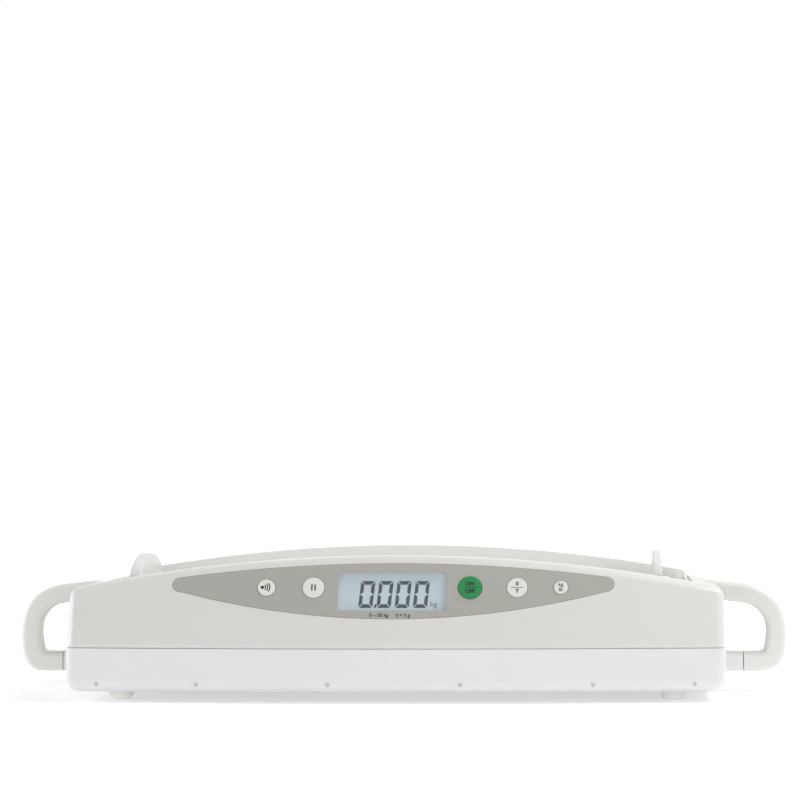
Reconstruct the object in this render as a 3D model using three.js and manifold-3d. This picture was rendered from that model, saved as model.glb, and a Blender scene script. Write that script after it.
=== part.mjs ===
// Digital baby weighing scale: a cradle tray on a load cell, carried in a two-part casing with
// two handles, a leaning control face with a display and five keys, and a length measure with
// one fixed and one sliding end plate.
// Millimetres. +X to the right, +Y away from the front, +Z up, origin on the ground under the middle.

import * as THREE from 'three';
import { mergeVertices } from 'three/addons/utils/BufferGeometryUtils.js';
import Module from 'manifold-3d';

const wasm = await Module();
wasm.setup();

// Casing
const casingWidth = 544;
const casingDepth = 330;
const frontBow = 19;
const rearBow = 4;
const wall = 3;
const undersideHeight = 8.5;
const seamHeight = 44.7;
const seamGap = 0.5;
const lowerOverhang = 1;
const lowerCornerRadius = 11;
const lowerEndRadius = 11;
const casingEndRadius = 6.5;
const smallestRadius = 0.8;
const archHeight = 120.5;
const archDrop = 27.4;
const shoulderDrop = 4.5;
const leanDegrees = 25;
const leanAboveSeam = 3.3;
const rimFilletRadius = 11;
const rearFilletRadius = 8.5;
const seatGap = 0.3;
const cutOverrun = 6;

// Tray
const trayEndSetback = 25;
const trayCornerRadius = 24;
const trayEndRound = 5;
const trayFrontSetback = 54;
const trayRearSetback = 16;
const trayGap = 1.1;
const trayWall = 3;
const traySkirt = 14;
const trayTuck = 2;
const trayRimChamfer = 1.2;
const frontRimWidth = 4;
const rearRimWidth = 9;
const rearWallLean = 3;
const cradleDepth = 15.9;
const floorFromFront = 180;
const ledgeRise = 6;
const ledgeWidth = 24;
const trayEndSlope = 10;
const trayEndLip = 4;
const trayEndDrop = 4;

// Handles
const handleReach = 56.6;
const handleBottom = 16.9;
const handleTopAboveEnd = 1.9;
const handleWidth = 30;
const handleCornerRadius = 5;
const handleBehindMiddle = 9;
const stubLength = 20;
const stubRoot = 4;
// Outer and inner points round the loop, from the root in the casing to the lower arm.
// Across: shares of the reach past the casing's end. Up: shares of the height above the bottom.
const handleShares = [
  { outer: [-0.36, 0.972], inner: [-0.36, 0.79] },
  { outer: [-0.16, 1], inner: [-0.16, 0.782] },
  { outer: [0.19, 0.969], inner: [0.07, 0.772] },
  { outer: [0.459, 0.944], inner: [0.336, 0.749] },
  { outer: [0.636, 0.896], inner: [0.486, 0.716] },
  { outer: [0.786, 0.823], inner: [0.592, 0.658] },
  { outer: [0.901, 0.721], inner: [0.664, 0.584] },
  { outer: [0.972, 0.588], inner: [0.7, 0.501] },
  { outer: [1, 0.43], inner: [0.707, 0.398] },
  { outer: [0.988, 0.257], inner: [0.687, 0.289] },
  { outer: [0.94, 0.129], inner: [0.67, 0.236] },
  { outer: [0.848, 0.044], inner: [0.629, 0.215] },
  { outer: [0.716, 0.004], inner: [0.565, 0.21] },
];
const lowerArmShares = { outer: 0, inner: 0.21 };

// Control face, its panel centred on the window
const faceBelowRim = 26.3;
const panelLength = 366;
const panelTopBelowRim = 6.6;
const panelBottomBelowRim = 51.2;
const panelBottomRise = 21.5;
const panelTipRadius = 7.5;
const panelThickness = 1.2;
const panelProud = 0.3;
const panelGap = 0.3;
const windowWidth = 89.8;
const windowHeight = 33.8;
const windowRadius = 2.5;
const windowCentreX = -1.9;
const windowBelowKeys = 2.9;
const lensRecess = 0.7;
const lensBack = 3.6;
const glassMargin = 4;
const glassThickness = 2.8;
const holderBar = 3.5;
const boardDepth = 16;
const boardThickness = 1.6;
const boardEndSetback = 7;
const boardHeight = 43;
const boardBossFromEnd = 11;
const boardBossRadius = 3.6;
const boardScrewRadius = 1.3;
const boardScrewHeadRadius = 2.6;
const boardScrewHead = 1.8;
const boardScrewBite = 4;

// Keys, from left to right: shares of the pitch out from the window's edge, and of the largest radius
const keyPitch = 38.7;
const keyRadius = 9.8;
const keyShares = [
  { name: 'sound', side: -1, pitchShare: 1.535, radiusShare: 0.74, colour: 0xe6e5df },
  { name: 'hold', side: -1, pitchShare: 0.525, radiusShare: 0.918, colour: 0xe6e5df },
  { name: 'power', side: 1, pitchShare: 0.499, radiusShare: 1, colour: 0x1f9a52 },
  { name: 'tare', side: 1, pitchShare: 1.504, radiusShare: 0.867, colour: 0xe6e5df },
  { name: 'unit', side: 1, pitchShare: 2.434, radiusShare: 0.597, colour: 0xe6e5df },
];
const keyGap = 0.4;
const keyProud = 1.1;
const keyEdge = 0.5;
const keyFlange = 1.8;
const keyFlangeThickness = 1.2;
const keyStemRadius = 2.2;
const keyTravel = 0.6;
const switchWidth = 6;
const switchHeight = 3.5;
const plungerRadius = 1.6;
const plungerHeight = 0.8;

// Feet and the screws that hold them and the shells
const footRadius = 10.3;
const footEdge = 2;
const footEndSetback = 42;
const footSetback = 53;
const footRecessRadius = 4.6;
const footRecessDepth = 5.4;
const footBossRadius = 6;
const footBossHeight = 12;
const screwRadius = 1.7;
const screwHeadRadius = 3.6;
const screwHead = 2.4;
const screwClearance = 0.3;
const screwHeadRoom = 0.6;
const screwBite = 10;
const shellScrewEndSetback = 16;
const shellScrewFrontSetback = 75;
const shellScrewRearSetback = 50;
const shellBossRadius = 6.2;
const shellWebHeight = 30;
const shellPostRadius = 4.5;
const dimpleRadius = 1.5;
const dimpleDepth = 2;
const dimpleHeight = 7.1;
const dimpleShares = [0.2011, 0.6011, 0.9081];

// Load cell and what carries the tray
const cellLength = 130;
const cellWidth = 30;
const cellHeight = 22;
const cellBaseHeight = 6;
const cellBaseLength = 46;
const cellBoltFromEnd = 14;
const cellBoltRadius = 2.5;
const cellBoltHeadRadius = 4.5;
const cellBoltHead = 2.8;
const cellBoltSink = 3.4;
const cellSlotRadius = 7;
const cellSlotSpread = 13;
const cellSlotNeck = 3;
const trayTravel = 0.4;
const carrierGap = 0.4;
const carrierThickness = 4;
const carrierSpineWidth = 44;
const carrierBarWidth = 24;
const bufferEndSetback = 97;
const bufferY = 52;
const bufferRadius = 9;
const bufferThickness = 3.2;
const carrierPostRadius = 8;
const trayBossDrop = 8;
const trayBossRadius = 9;

// Battery compartment
const batterySpacingGap = 1;
const batteryCount = 4;
const batteryRadius = 7.1;
const batteryLength = 50.5;
const batteryTipRadius = 2.6;
const batteryTip = 1.2;
const pocketFromCell = 52.7;
const batteryOverDoor = 0.6;
const boxGap = 0.4;
const boxWall = 1.6;
const pocketHeight = 5;
const pocketMargin = 9;
const doorRecess = 2.7;
const doorLip = 2.5;
const doorCover = 5;
const doorTravel = 22;
const doorGripWidth = 24;
const doorGripDepth = 0.7;
const doorGripStep = 3;

// Main board
const mainBoardFromCell = 28;
const mainBoardLength = 90;
const mainBoardWidth = 60;
const standoffHeight = 6;
const standoffRadius = 3;
const standoffInset = 5;
const buzzerRadius = 6;
const buzzerHeight = 7;

// Length measure
const railEndSetback = 15;
const railHeadWidth = 12;
const railFootWidth = 8;
const railFootHeight = 2;
const railHeadHeight = 2.2;
const carriageFromWall = 2;
const runnerGap = 0.4;
const carriageLength = 14;
const carriageWall = 2;
const carriageRise = 2.2;
const headStopFromRailEnd = 13;
const footStopFromRailEnd = 16.7;
const stopClearance = 2;
const stopFrontFromFloor = 78;
const domeAboveLedge = 2;
const headDomeRise = 27;
const footDomeRise = 29.4;
const domeEase = 16;
const headStopThickness = 10;
const footStopThickness = 6.5;
const stopBevel = 1.2;

// Fineness of the round shapes
const archSteps = 14;
const endSteps = 3;
const cornerSteps = 4;
const insideSteps = 2;
const roundSides = 18;
const screwSides = 10;

const half = casingWidth / 2;
const frontY = -casingDepth / 2;
const leanStartHeight = seamHeight + leanAboveSeam;
const trayLength = casingWidth - 2 * trayEndSetback;
const screwBoreRadius = screwRadius + screwClearance;
const shellRecessRadius = screwHeadRadius + screwHeadRoom;
const railLength = trayLength - 2 * railEndSetback;
const faceHeight = archHeight - faceBelowRim;
const windowCentreHeight = faceHeight - windowBelowKeys;
const boardLength = panelLength - 2 * boardEndSetback;
const boardBossX = boardLength / 2 - boardBossFromEnd;
const keys = keyShares.map(({ name, side, pitchShare, radiusShare, colour }) => ({
  name,
  colour,
  radius: keyRadius * radiusShare,
  x: windowCentreX + side * (windowWidth / 2 + keyPitch * pitchShare),
}));
const lean = THREE.MathUtils.degToRad(leanDegrees);
const quarter = Math.PI / 2;

const colours = {
  shell: 0xdedcd8, tray: 0xdcdcd9, grey: 0xacaca4, lens: 0xb4c2c4, glass: 0xb9c7c9, board: 0x2f6b47,
  dark: 0x2c2e30, steel: 0xb9bcc0, aluminium: 0xc4c7ca, rubber: 0xd6d6d2, battery: 0x55585c,
};

function material(colour, roughness = 0.5, metalness = 0) {
  return new THREE.MeshStandardMaterial({ color: colour, roughness, metalness });
}

// Turns a closed mesh into a solid, facing outwards
function solidOf(geometry) {
  geometry.deleteAttribute('normal');
  geometry.deleteAttribute('uv');
  const merged = mergeVertices(geometry);
  const place = merged.attributes.position;
  const index = Array.from(merged.index.array);
  const corners = [new THREE.Vector3(), new THREE.Vector3(), new THREE.Vector3()];
  let volume = 0;
  for (let i = 0; i < index.length; i += 3) {
    corners.forEach((corner, k) => corner.fromBufferAttribute(place, index[i + k]));
    volume += corners[0].dot(corners[1].cross(corners[2]));
  }
  const triVerts = new Uint32Array(index);
  if (volume < 0) {
    for (let i = 0; i < index.length; i += 3) [triVerts[i], triVerts[i + 1]] = [index[i + 1], index[i]];
  }
  return new wasm.Manifold(new wasm.Mesh({
    numProp: 3,
    vertProperties: new Float32Array(place.array),
    triVerts,
  }));
}

function geometryOf(solid) {
  const mesh = solid.getMesh();
  const geometry = new THREE.BufferGeometry();
  geometry.setAttribute('position', new THREE.BufferAttribute(new Float32Array(mesh.vertProperties), 3));
  geometry.setIndex(new THREE.BufferAttribute(new Uint32Array(mesh.triVerts), 1));
  geometry.computeVertexNormals();
  return geometry;
}

const joined = (solids) => solids.reduce((all, one) => all.add(one));

const scale = new THREE.Group();
scale.name = 'baby_scale';

function piece(name, solid, finish, parent = scale) {
  const mesh = new THREE.Mesh(geometryOf(solid), finish);
  mesh.name = name;
  parent.add(mesh);
  return mesh;
}

// Basic solids, placed by their lowest and highest corners or by their ends
function block(low, high) {
  const size = high.map((top, i) => top - low[i]);
  const geometry = new THREE.BoxGeometry(...size);
  geometry.translate(...high.map((top, i) => (top + low[i]) / 2));
  return solidOf(geometry);
}

function post(radius, x, y, bottom, top, sides = roundSides) {
  const geometry = new THREE.CylinderGeometry(radius, radius, top - bottom, sides);
  geometry.rotateX(quarter);
  geometry.translate(x, y, (top + bottom) / 2);
  return solidOf(geometry);
}

// A turned solid from [radius, height] points, standing on its axis along Z
function turned(profile, sides = roundSides) {
  const geometry = new THREE.LatheGeometry(profile.map(([r, z]) => new THREE.Vector2(r, z)), sides);
  geometry.rotateX(quarter);
  return solidOf(geometry);
}

// A solid through stations along X, each an equal-length outline of [y, z] points
function loft(stations) {
  const count = stations[0].outline.length;
  const positions = stations.flatMap(({ x, outline }) => outline.flatMap(([y, z]) => [x, y, z]));
  const flat = ({ outline }) => outline.map(([y, z]) => new THREE.Vector2(y, z));
  const turnsLeft = THREE.ShapeUtils.area(flat(stations[0])) > 0;
  const index = [];
  for (let s = 0; s + 1 < stations.length; s += 1) {
    for (let i = 0; i < count; i += 1) {
      const here = s * count + i;
      const next = s * count + ((i + 1) % count);
      const [a, b] = turnsLeft ? [here, next] : [next, here];
      index.push(a, b, a + count, b, b + count, a + count);
    }
  }
  const last = (stations.length - 1) * count;
  for (const [a, b, c] of THREE.ShapeUtils.triangulateShape(flat(stations[0]), [])) index.push(c, b, a);
  for (const [a, b, c] of THREE.ShapeUtils.triangulateShape(flat(stations.at(-1)), [])) {
    index.push(last + a, last + b, last + c);
  }
  const geometry = new THREE.BufferGeometry();
  geometry.setAttribute('position', new THREE.Float32BufferAttribute(positions, 3));
  geometry.setIndex(index);
  return solidOf(geometry);
}

function extruded(outline, depth, holes = []) {
  const shape = new THREE.Shape(outline.map(([x, y]) => new THREE.Vector2(x, y)));
  holes.forEach((hole) => shape.holes.push(new THREE.Path(hole.map(([x, y]) => new THREE.Vector2(x, y)))));
  return new THREE.ExtrudeGeometry(shape, { depth, bevelEnabled: false });
}

function roundedOutline(width, height, radius, steps = cornerSteps) {
  const points = [];
  for (let corner = 0; corner < 4; corner += 1) {
    const signX = corner === 0 || corner === 3 ? 1 : -1;
    const signY = corner < 2 ? 1 : -1;
    for (let i = 0; i <= steps; i += 1) {
      const angle = quarter * (corner + i / steps);
      points.push([
        signX * (width / 2 - radius) + radius * Math.cos(angle),
        signY * (height / 2 - radius) + radius * Math.sin(angle),
      ]);
    }
  }
  return points;
}

// Curves of the casing: bowed front and rear, arched top edge
const shareOut = (x) => (x / half) ** 2;
const bowAt = (x) => frontBow * shareOut(x);
const rimZ = (x) => archHeight - archDrop * shareOut(x);
const frontAt = (x) => frontY + bowAt(x);
const rearAt = (x) => -frontY - rearBow * shareOut(x);
const faceAt = (x, z) => frontAt(x) + (z - leanStartHeight) * Math.tan(lean);
const cornerTangent = (radius) => radius * Math.tan((quarter - lean) / 2);

// X places: close together where the ends round off, evenly spread between
function placesAlong(length, endRadius) {
  const inner = length / 2 - endRadius;
  const places = [];
  for (let i = endSteps; i > 0; i -= 1) places.push(-inner - endRadius * Math.sin((quarter * i) / endSteps));
  for (let i = 0; i <= archSteps; i += 1) places.push(-inner + (2 * inner * i) / archSteps);
  for (let i = 1; i <= endSteps; i += 1) places.push(inner + endRadius * Math.sin((quarter * i) / endSteps));
  return places;
}

// How far an edge has drawn in at x, where an end of the length is rounded with the radius
function drawnIn(x, length, endRadius) {
  const past = Math.min(Math.max(Math.abs(x) - (length / 2 - endRadius), 0), endRadius);
  return endRadius - Math.sqrt(endRadius ** 2 - past ** 2);
}

function arc(centre, radius, start, end, steps = cornerSteps) {
  return Array.from({ length: steps + 1 }, (_, i) => {
    const angle = start + ((end - start) * i) / steps;
    return [centre[0] + radius * Math.cos(angle), centre[1] + radius * Math.sin(angle)];
  });
}

// Upper casing, offset inwards all over, down to a bottom height
function upperBody(offset, bottom) {
  const length = casingWidth - 2 * offset;
  const endRadius = casingEndRadius - offset;
  const outlineAt = (x) => {
    const inset = offset + drawnIn(x, length, endRadius);
    const front = frontAt(x) + inset;
    const rear = rearAt(x) - inset;
    const top = rimZ(x) - inset;
    const rearTop = top - shoulderDrop;
    const frontRadius = Math.max(rimFilletRadius - inset, smallestRadius);
    const rearRadius = Math.max(rearFilletRadius - inset, smallestRadius);
    const corner = faceAt(x, top) + inset / Math.cos(lean);
    const centre = [corner + cornerTangent(frontRadius), top - frontRadius];
    const steps = offset ? insideSteps : cornerSteps;
    return [
      [front, bottom],
      [front, leanStartHeight - inset * Math.tan(lean / 2)],
      ...arc(centre, frontRadius, Math.PI - lean, quarter, steps),
      ...arc([rear - rearRadius, rearTop - rearRadius], rearRadius, quarter, 0, steps),
      [rear, bottom],
    ];
  };
  return loft(placesAlong(length, endRadius).map((x) => ({ x, outline: outlineAt(x) })));
}

// Height of the end shoulders' top at a setback from the front
function shoulderZ(x, setback) {
  const start = faceAt(x, rimZ(x)) - frontY + cornerTangent(rimFilletRadius);
  const end = rearAt(x) - frontY - rearFilletRadius;
  return rimZ(x) - shoulderDrop * ((setback - start) / (end - start));
}

function lowerBody(offset, top) {
  const length = casingWidth + 2 * lowerOverhang - 2 * offset;
  const endRadius = casingEndRadius - offset;
  const bottomRadius = lowerEndRadius - offset;
  const cornerPlaces = sides.flatMap((side) => Array.from({ length: endSteps }, (_, i) => (
    side * (length / 2 - bottomRadius * (1 - Math.sin((quarter * i) / endSteps))))));
  const places = [...placesAlong(length, endRadius), ...cornerPlaces].sort((a, b) => a - b);
  const outlineAt = (x) => {
    const inset = offset + drawnIn(x, length, endRadius);
    const front = frontAt(x) - lowerOverhang + inset;
    const rear = rearAt(x) + lowerOverhang - inset;
    const bottom = undersideHeight + offset + drawnIn(x, length, bottomRadius);
    const radius = lowerCornerRadius - Math.min(inset, lowerCornerRadius - smallestRadius);
    const steps = offset ? insideSteps : cornerSteps;
    return [
      [front, top],
      ...arc([front + radius, bottom + radius], radius, Math.PI, Math.PI + quarter, steps),
      ...arc([rear - radius, bottom + radius], radius, Math.PI + quarter, 2 * Math.PI, steps),
      [rear, top],
    ];
  };
  return loft(places.map((x) => ({ x, outline: outlineAt(x) })));
}

// A slice of the leaning face between two distances out from its surface
function faceSlice(outer, inner) {
  const low = seamHeight;
  const high = archHeight + cutOverrun;
  const point = (x, z, out) => [faceAt(x, z) - out * Math.cos(lean), z + out * Math.sin(lean)];
  const outlineAt = (x) => [
    point(x, low, outer), point(x, low, inner), point(x, high, inner), point(x, high, outer)];
  return loft(placesAlong(casingWidth, casingEndRadius).map((x) => ({ x, outline: outlineAt(x) })));
}

// The control face's own frame: across, up the slope, and out of the face
const faceTurn = quarter - lean;
const faceOrigin = new THREE.Vector3(0, faceAt(0, faceHeight), faceHeight);
const faceMatrix = new THREE.Matrix4().makeRotationX(faceTurn).setPosition(faceOrigin);
const upSlope = (x, z) => (z - faceHeight) / Math.cos(lean) + bowAt(x) * Math.sin(lean);
const outAt = (x) => -bowAt(x) * Math.cos(lean);
const onFace = (geometry) => solidOf(geometry.applyMatrix4(faceMatrix));
const boardOut = -boardDepth;

const faceGroup = new THREE.Group();
faceGroup.rotation.x = faceTurn;
faceGroup.position.copy(faceOrigin);
scale.add(faceGroup);

function facePin(radius, x, z, inner, outer, sides = roundSides) {
  const geometry = new THREE.CylinderGeometry(radius, radius, outer - inner, sides);
  geometry.rotateX(quarter);
  geometry.translate(x, upSlope(x, z), (outer + inner) / 2);
  return geometry;
}

// Lens-shaped outline of the control panel in X and Z, grown all round, from its own middle outwards
function panelOutline(grow) {
  const tipX = panelLength / 2 - panelTipRadius;
  const topAt = (out) => rimZ(windowCentreX + out) - panelTopBelowRim + grow;
  const bottomAt = (out) => archHeight - panelBottomBelowRim + panelBottomRise * (out / tipX) ** 2 - grow;
  const steps = archSteps;
  const along = Array.from({ length: steps + 1 }, (_, i) => tipX * ((2 * i) / steps - 1));
  const tip = Array.from({ length: cornerSteps * 2 - 1 }, (_, i) => (quarter * (i + 1)) / cornerSteps);
  const tipPoint = (side) => (angle) => {
    const middle = (topAt(side * tipX) + bottomAt(tipX)) / 2;
    const reach = (topAt(side * tipX) - bottomAt(tipX)) / 2;
    return [side * (tipX + (panelTipRadius + grow) * Math.sin(angle)), middle + side * reach * Math.cos(angle)];
  };
  const outline = [
    ...along.map((out) => [out, topAt(out)]),
    ...tip.map(tipPoint(1)),
    ...along.toReversed().map((out) => [out, bottomAt(out)]),
    ...tip.map(tipPoint(-1)),
  ];
  return outline.map(([out, z]) => [windowCentreX + out, z]);
}

function panelPrism(grow) {
  const geometry = extruded(panelOutline(grow), casingDepth / 2);
  geometry.rotateX(quarter);
  return solidOf(geometry);
}

// Window and key holes through panel and casing, in the face's frame
const windowUp = upSlope(windowCentreX, windowCentreHeight);
function windowBlock(width, height, radius, inner, outer) {
  const geometry = extruded(roundedOutline(width, height, radius), outer - inner);
  geometry.translate(windowCentreX, windowUp, inner);
  return geometry;
}
const glassFront = -lensBack - seatGap;
const glassBack = glassFront - glassThickness;
const glassRoom = (grow) => windowBlock(
  windowWidth + 2 * (glassMargin + grow), windowHeight + 2 * (glassMargin + grow), windowRadius,
  glassBack - grow, glassFront + (grow ? seatGap : 0));
function boardRoom(grow) {
  const size = [boardLength, boardHeight, boardThickness].map((length) => length + 2 * grow);
  const geometry = new THREE.BoxGeometry(...size);
  geometry.translate(0, windowUp, boardOut - boardThickness / 2);
  return geometry;
}
const windowHole = () => onFace(windowBlock(
  windowWidth, windowHeight, windowRadius, -wall - cutOverrun, cutOverrun));
const keyHoles = () => keys.map(({ x, radius }) => onFace(
  facePin(radius + keyGap, x, faceHeight, outAt(x) - wall - cutOverrun, outAt(x) + cutOverrun)));

// Tray curves
const trayHalf = trayLength / 2;
const trayIn = (x) => drawnIn(x, trayLength, trayCornerRadius);
const trayFront = (x) => frontAt(x) + trayFrontSetback + trayIn(x);
const trayRear = (x) => -frontY - trayRearSetback - trayIn(x);
const trayDip = (x) => drawnIn(x, trayLength, trayEndRound);
const trayFrontZ = (x) => rimZ(x) - trayTuck - trayDip(x);
const trayRearZ = (x) => rimZ(x) - trayDip(x);
const ledgeBack = -frontY - trayRearSetback - rearRimWidth - rearWallLean;
const ledgeFront = ledgeBack - ledgeWidth;
const floorY = frontY + floorFromFront;
const floorHeight = rimZ(trayHalf) - cradleDepth;
const ledgeHeight = floorHeight + ledgeRise;

// Height of the cradle's surface, from the front rim over the floor to the ledge
function cradleZ(x, y) {
  const start = frontAt(x) + trayFrontSetback + frontRimWidth;
  if (y < floorY) {
    const share = Math.min(Math.max((y - start) / (floorY - start), 0), 1);
    return floorHeight + (trayFrontZ(x) - floorHeight) * (1 - Math.sin(quarter * share));
  }
  const share = Math.min((y - floorY) / (ledgeFront - floorY), 1);
  return floorHeight + (ledgeHeight - floorHeight) * (1 - Math.cos(quarter * share));
}

// Share by which the cradle has risen to its end lip at x
const endSlopeStart = trayHalf - trayEndLip - trayEndSlope;
const trayPlaces = [
  ...placesAlong(trayLength, trayCornerRadius), -endSlopeStart, endSlopeStart].sort((a, b) => a - b);
function endShare(x) {
  const start = endSlopeStart;
  const share = Math.min(Math.max((Math.abs(x) - start) / trayEndSlope, 0), 1);
  return share * share * (3 - 2 * share);
}

// The tray's upper surface at x, from the inside of the front rim to the inside of the rear rim
function traySurface(x) {
  const frontZ = trayFrontZ(x);
  const rearZ = trayRearZ(x);
  const inner = trayFront(x) + frontRimWidth;
  const wallTop = trayRear(x) - rearRimWidth;
  const lift = endShare(x);
  const frontSteps = 7;
  const rearSteps = 3;
  const surface = [];
  for (let i = 0; i <= frontSteps; i += 1) {
    const share = i / frontSteps;
    const z = floorHeight + (frontZ - floorHeight) * (1 - Math.sin(quarter * share));
    const lipZ = frontZ - trayEndDrop * Math.sin(quarter * share);
    surface.push([inner + (floorY - inner) * share, z + (lipZ - z) * lift]);
  }
  const back = Math.min(ledgeBack, wallTop - rearWallLean);
  const ledge = back - ledgeWidth;
  const lipZ = rearZ - trayEndDrop;
  for (let i = 1; i <= rearSteps; i += 1) {
    const share = i / rearSteps;
    const z = floorHeight + (ledgeHeight - floorHeight) * (1 - Math.cos(quarter * share));
    surface.push([floorY + (ledge - floorY) * share, z + (lipZ - z) * lift]);
  }
  surface.push([back, ledgeHeight + (lipZ - ledgeHeight) * lift]);
  surface.push([wallTop, rearZ]);
  return surface;
}

function trayOutline(x) {
  const front = trayFront(x);
  const rear = trayRear(x);
  const frontZ = trayFrontZ(x);
  const rearZ = trayRearZ(x);
  const surface = traySurface(x);
  const under = surface.map(([y, z]) => [y, z - trayWall]);
  under[under.length - 2][0] += trayWall;
  under[under.length - 1][0] += trayWall;
  return [
    [front, frontZ - traySkirt],
    [front, frontZ - trayRimChamfer],
    [front + trayRimChamfer, frontZ],
    ...surface,
    [rear - trayRimChamfer, rearZ],
    [rear, rearZ - trayRimChamfer],
    [rear, rearZ - traySkirt],
    [rear - trayWall, rearZ - traySkirt],
    [rear - trayWall, rearZ - trayWall],
    ...under.toReversed(),
    [front + trayWall, frontZ - trayWall],
    [front + trayWall, frontZ - traySkirt],
  ];
}

// Everything under the middle of the tray's thickness, to trim what is built up from below
function underTray(bottom) {
  return loft(trayPlaces.map((x) => {
    const surface = traySurface(x).map(([y, z]) => [y, z - trayWall / 2]);
    return { x, outline: [...surface, [surface.at(-1)[0], bottom], [surface[0][0], bottom]] };
  }));
}

function trayEnd(side) {
  const outlineAt = (x) => [
    [trayFront(x), trayFrontZ(x) - traySkirt],
    [trayFront(x), trayFrontZ(x) - trayWall / 2],
    ...traySurface(x).map(([y, z]) => [y, z - trayWall / 2]),
    [trayRear(x), trayRearZ(x) - trayWall / 2],
    [trayRear(x), trayRearZ(x) - traySkirt],
  ];
  const inner = side * (trayHalf - trayWall);
  const outer = side * trayHalf;
  return loft([Math.min(inner, outer), Math.max(inner, outer)].map((x) => ({ x, outline: outlineAt(x) })));
}

// Room for the tray in the casing
function trayOpening() {
  const length = trayLength + 2 * trayGap;
  const radius = trayCornerRadius + trayGap;
  const outlineAt = (x) => {
    const inset = drawnIn(x, length, radius);
    const front = frontAt(x) + trayFrontSetback - trayGap + inset;
    const rear = -frontY - trayRearSetback + trayGap - inset;
    const top = archHeight + cutOverrun;
    return [[front, seamHeight], [rear, seamHeight], [rear, top], [front, top]];
  };
  return loft(placesAlong(length, radius).map((x) => ({ x, outline: outlineAt(x) })));
}

// Handle loop: a rounded bar through outer and inner points, on the side given by the sign
const handleY = handleBehindMiddle;
const handleHeight = rimZ(half) + handleTopAboveEnd - handleBottom;
const acrossHandle = (share) => half + share * handleReach;
const upHandle = (share) => handleBottom + share * handleHeight;
const barSection = (thick, wide, radius) => roundedOutline(thick, wide, radius, cornerSteps - 2);

function bar(stations, side, grow = 0) {
  const radius = handleCornerRadius + grow;
  const rings = stations.map(({ outer, inner }) => {
    const across = new THREE.Vector2(outer[0] - inner[0], outer[1] - inner[1]);
    const thick = across.length() + 2 * grow;
    across.normalize();
    const middle = [(outer[0] + inner[0]) / 2, (outer[1] + inner[1]) / 2];
    return barSection(thick, handleWidth + 2 * grow, radius).map(([t, w]) => [
      side * (middle[0] + across.x * t), handleY + w, middle[1] + across.y * t]);
  });
  const count = rings[0].length;
  const index = [];
  for (let s = 0; s + 1 < rings.length; s += 1) {
    for (let i = 0; i < count; i += 1) {
      const a = s * count + i;
      const b = s * count + ((i + 1) % count);
      index.push(a, b, a + count, b, b + count, a + count);
    }
  }
  const last = (rings.length - 1) * count;
  for (let i = 1; i + 1 < count; i += 1) {
    index.push(0, i + 1, i, last, last + i, last + i + 1);
  }
  const geometry = new THREE.BufferGeometry();
  geometry.setAttribute('position', new THREE.Float32BufferAttribute(rings.flat(2), 3));
  geometry.setIndex(index);
  return solidOf(geometry);
}

function handleLoop(side, grow = 0) {
  const stations = handleShares.map(({ outer, inner }) => ({
    outer: [acrossHandle(outer[0]), upHandle(outer[1])],
    inner: [acrossHandle(inner[0]), upHandle(inner[1])],
  }));
  const end = half + stubLength + seatGap;
  stations.push({ outer: [end, upHandle(lowerArmShares.outer)], inner: [end, upHandle(lowerArmShares.inner)] });
  return bar(stations, side, grow);
}

function handleStub(side) {
  return bar([half - stubRoot, half + stubLength].map((x) => ({
    outer: [x, upHandle(lowerArmShares.outer)], inner: [x, upHandle(lowerArmShares.inner)],
  })), side);
}

// Four-fold places
const sides = [-1, 1];
const footPlaces = sides.flatMap((side) => [footSetback, casingDepth - footSetback].map(
  (setback) => [side * (half - footEndSetback), frontY + setback]));
const shellScrewSetbacks = [shellScrewFrontSetback, casingDepth - shellScrewRearSetback];
const shellScrewPlaces = sides.flatMap((side) => shellScrewSetbacks.map(
  (setback) => [side * (half - shellScrewEndSetback), frontY + setback]));
const bufferX = trayHalf - bufferEndSetback;
const bufferPlaces = sides.flatMap((side) => sides.map((end) => [side * bufferX, end * bufferY]));

// Battery compartment sizes, shared by the shell's pocket, the door, the box and the cells
const cellSpacing = 2 * batteryRadius + batterySpacingGap;
const batteryBottom = undersideHeight + doorRecess + batteryOverDoor;
const packWidth = cellSpacing * (batteryCount - 1) + 2 * (batteryRadius + boxGap);
const packLength = batteryLength + batteryTip + 2 * boxGap;
const pocketTop = undersideHeight + pocketHeight;
const doorWidth = packWidth + 2 * doorCover;
const doorLength = packLength + 2 * doorCover;
const doorMiddle = undersideHeight + doorRecess / 2;
const batteryX = -cellLength / 2 - pocketFromCell - pocketMargin - doorWidth / 2;
const mainBoardX = cellLength / 2 + mainBoardFromCell + mainBoardLength / 2;

function doorPlates(grow, bottom, extra) {
  const lower = block(
    [batteryX - doorWidth / 2 - grow, -doorLength / 2 - grow, bottom],
    [batteryX + doorWidth / 2 + grow, doorLength / 2 + grow + extra, doorMiddle + grow]);
  const upper = block(
    [batteryX - doorWidth / 2 - doorLip - grow, -doorLength / 2 - grow, doorMiddle - grow],
    [batteryX + doorWidth / 2 + doorLip + grow, doorLength / 2 + grow + extra,
      undersideHeight + doorRecess - (grow ? 0 : seatGap)]);
  return lower.add(upper);
}

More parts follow.
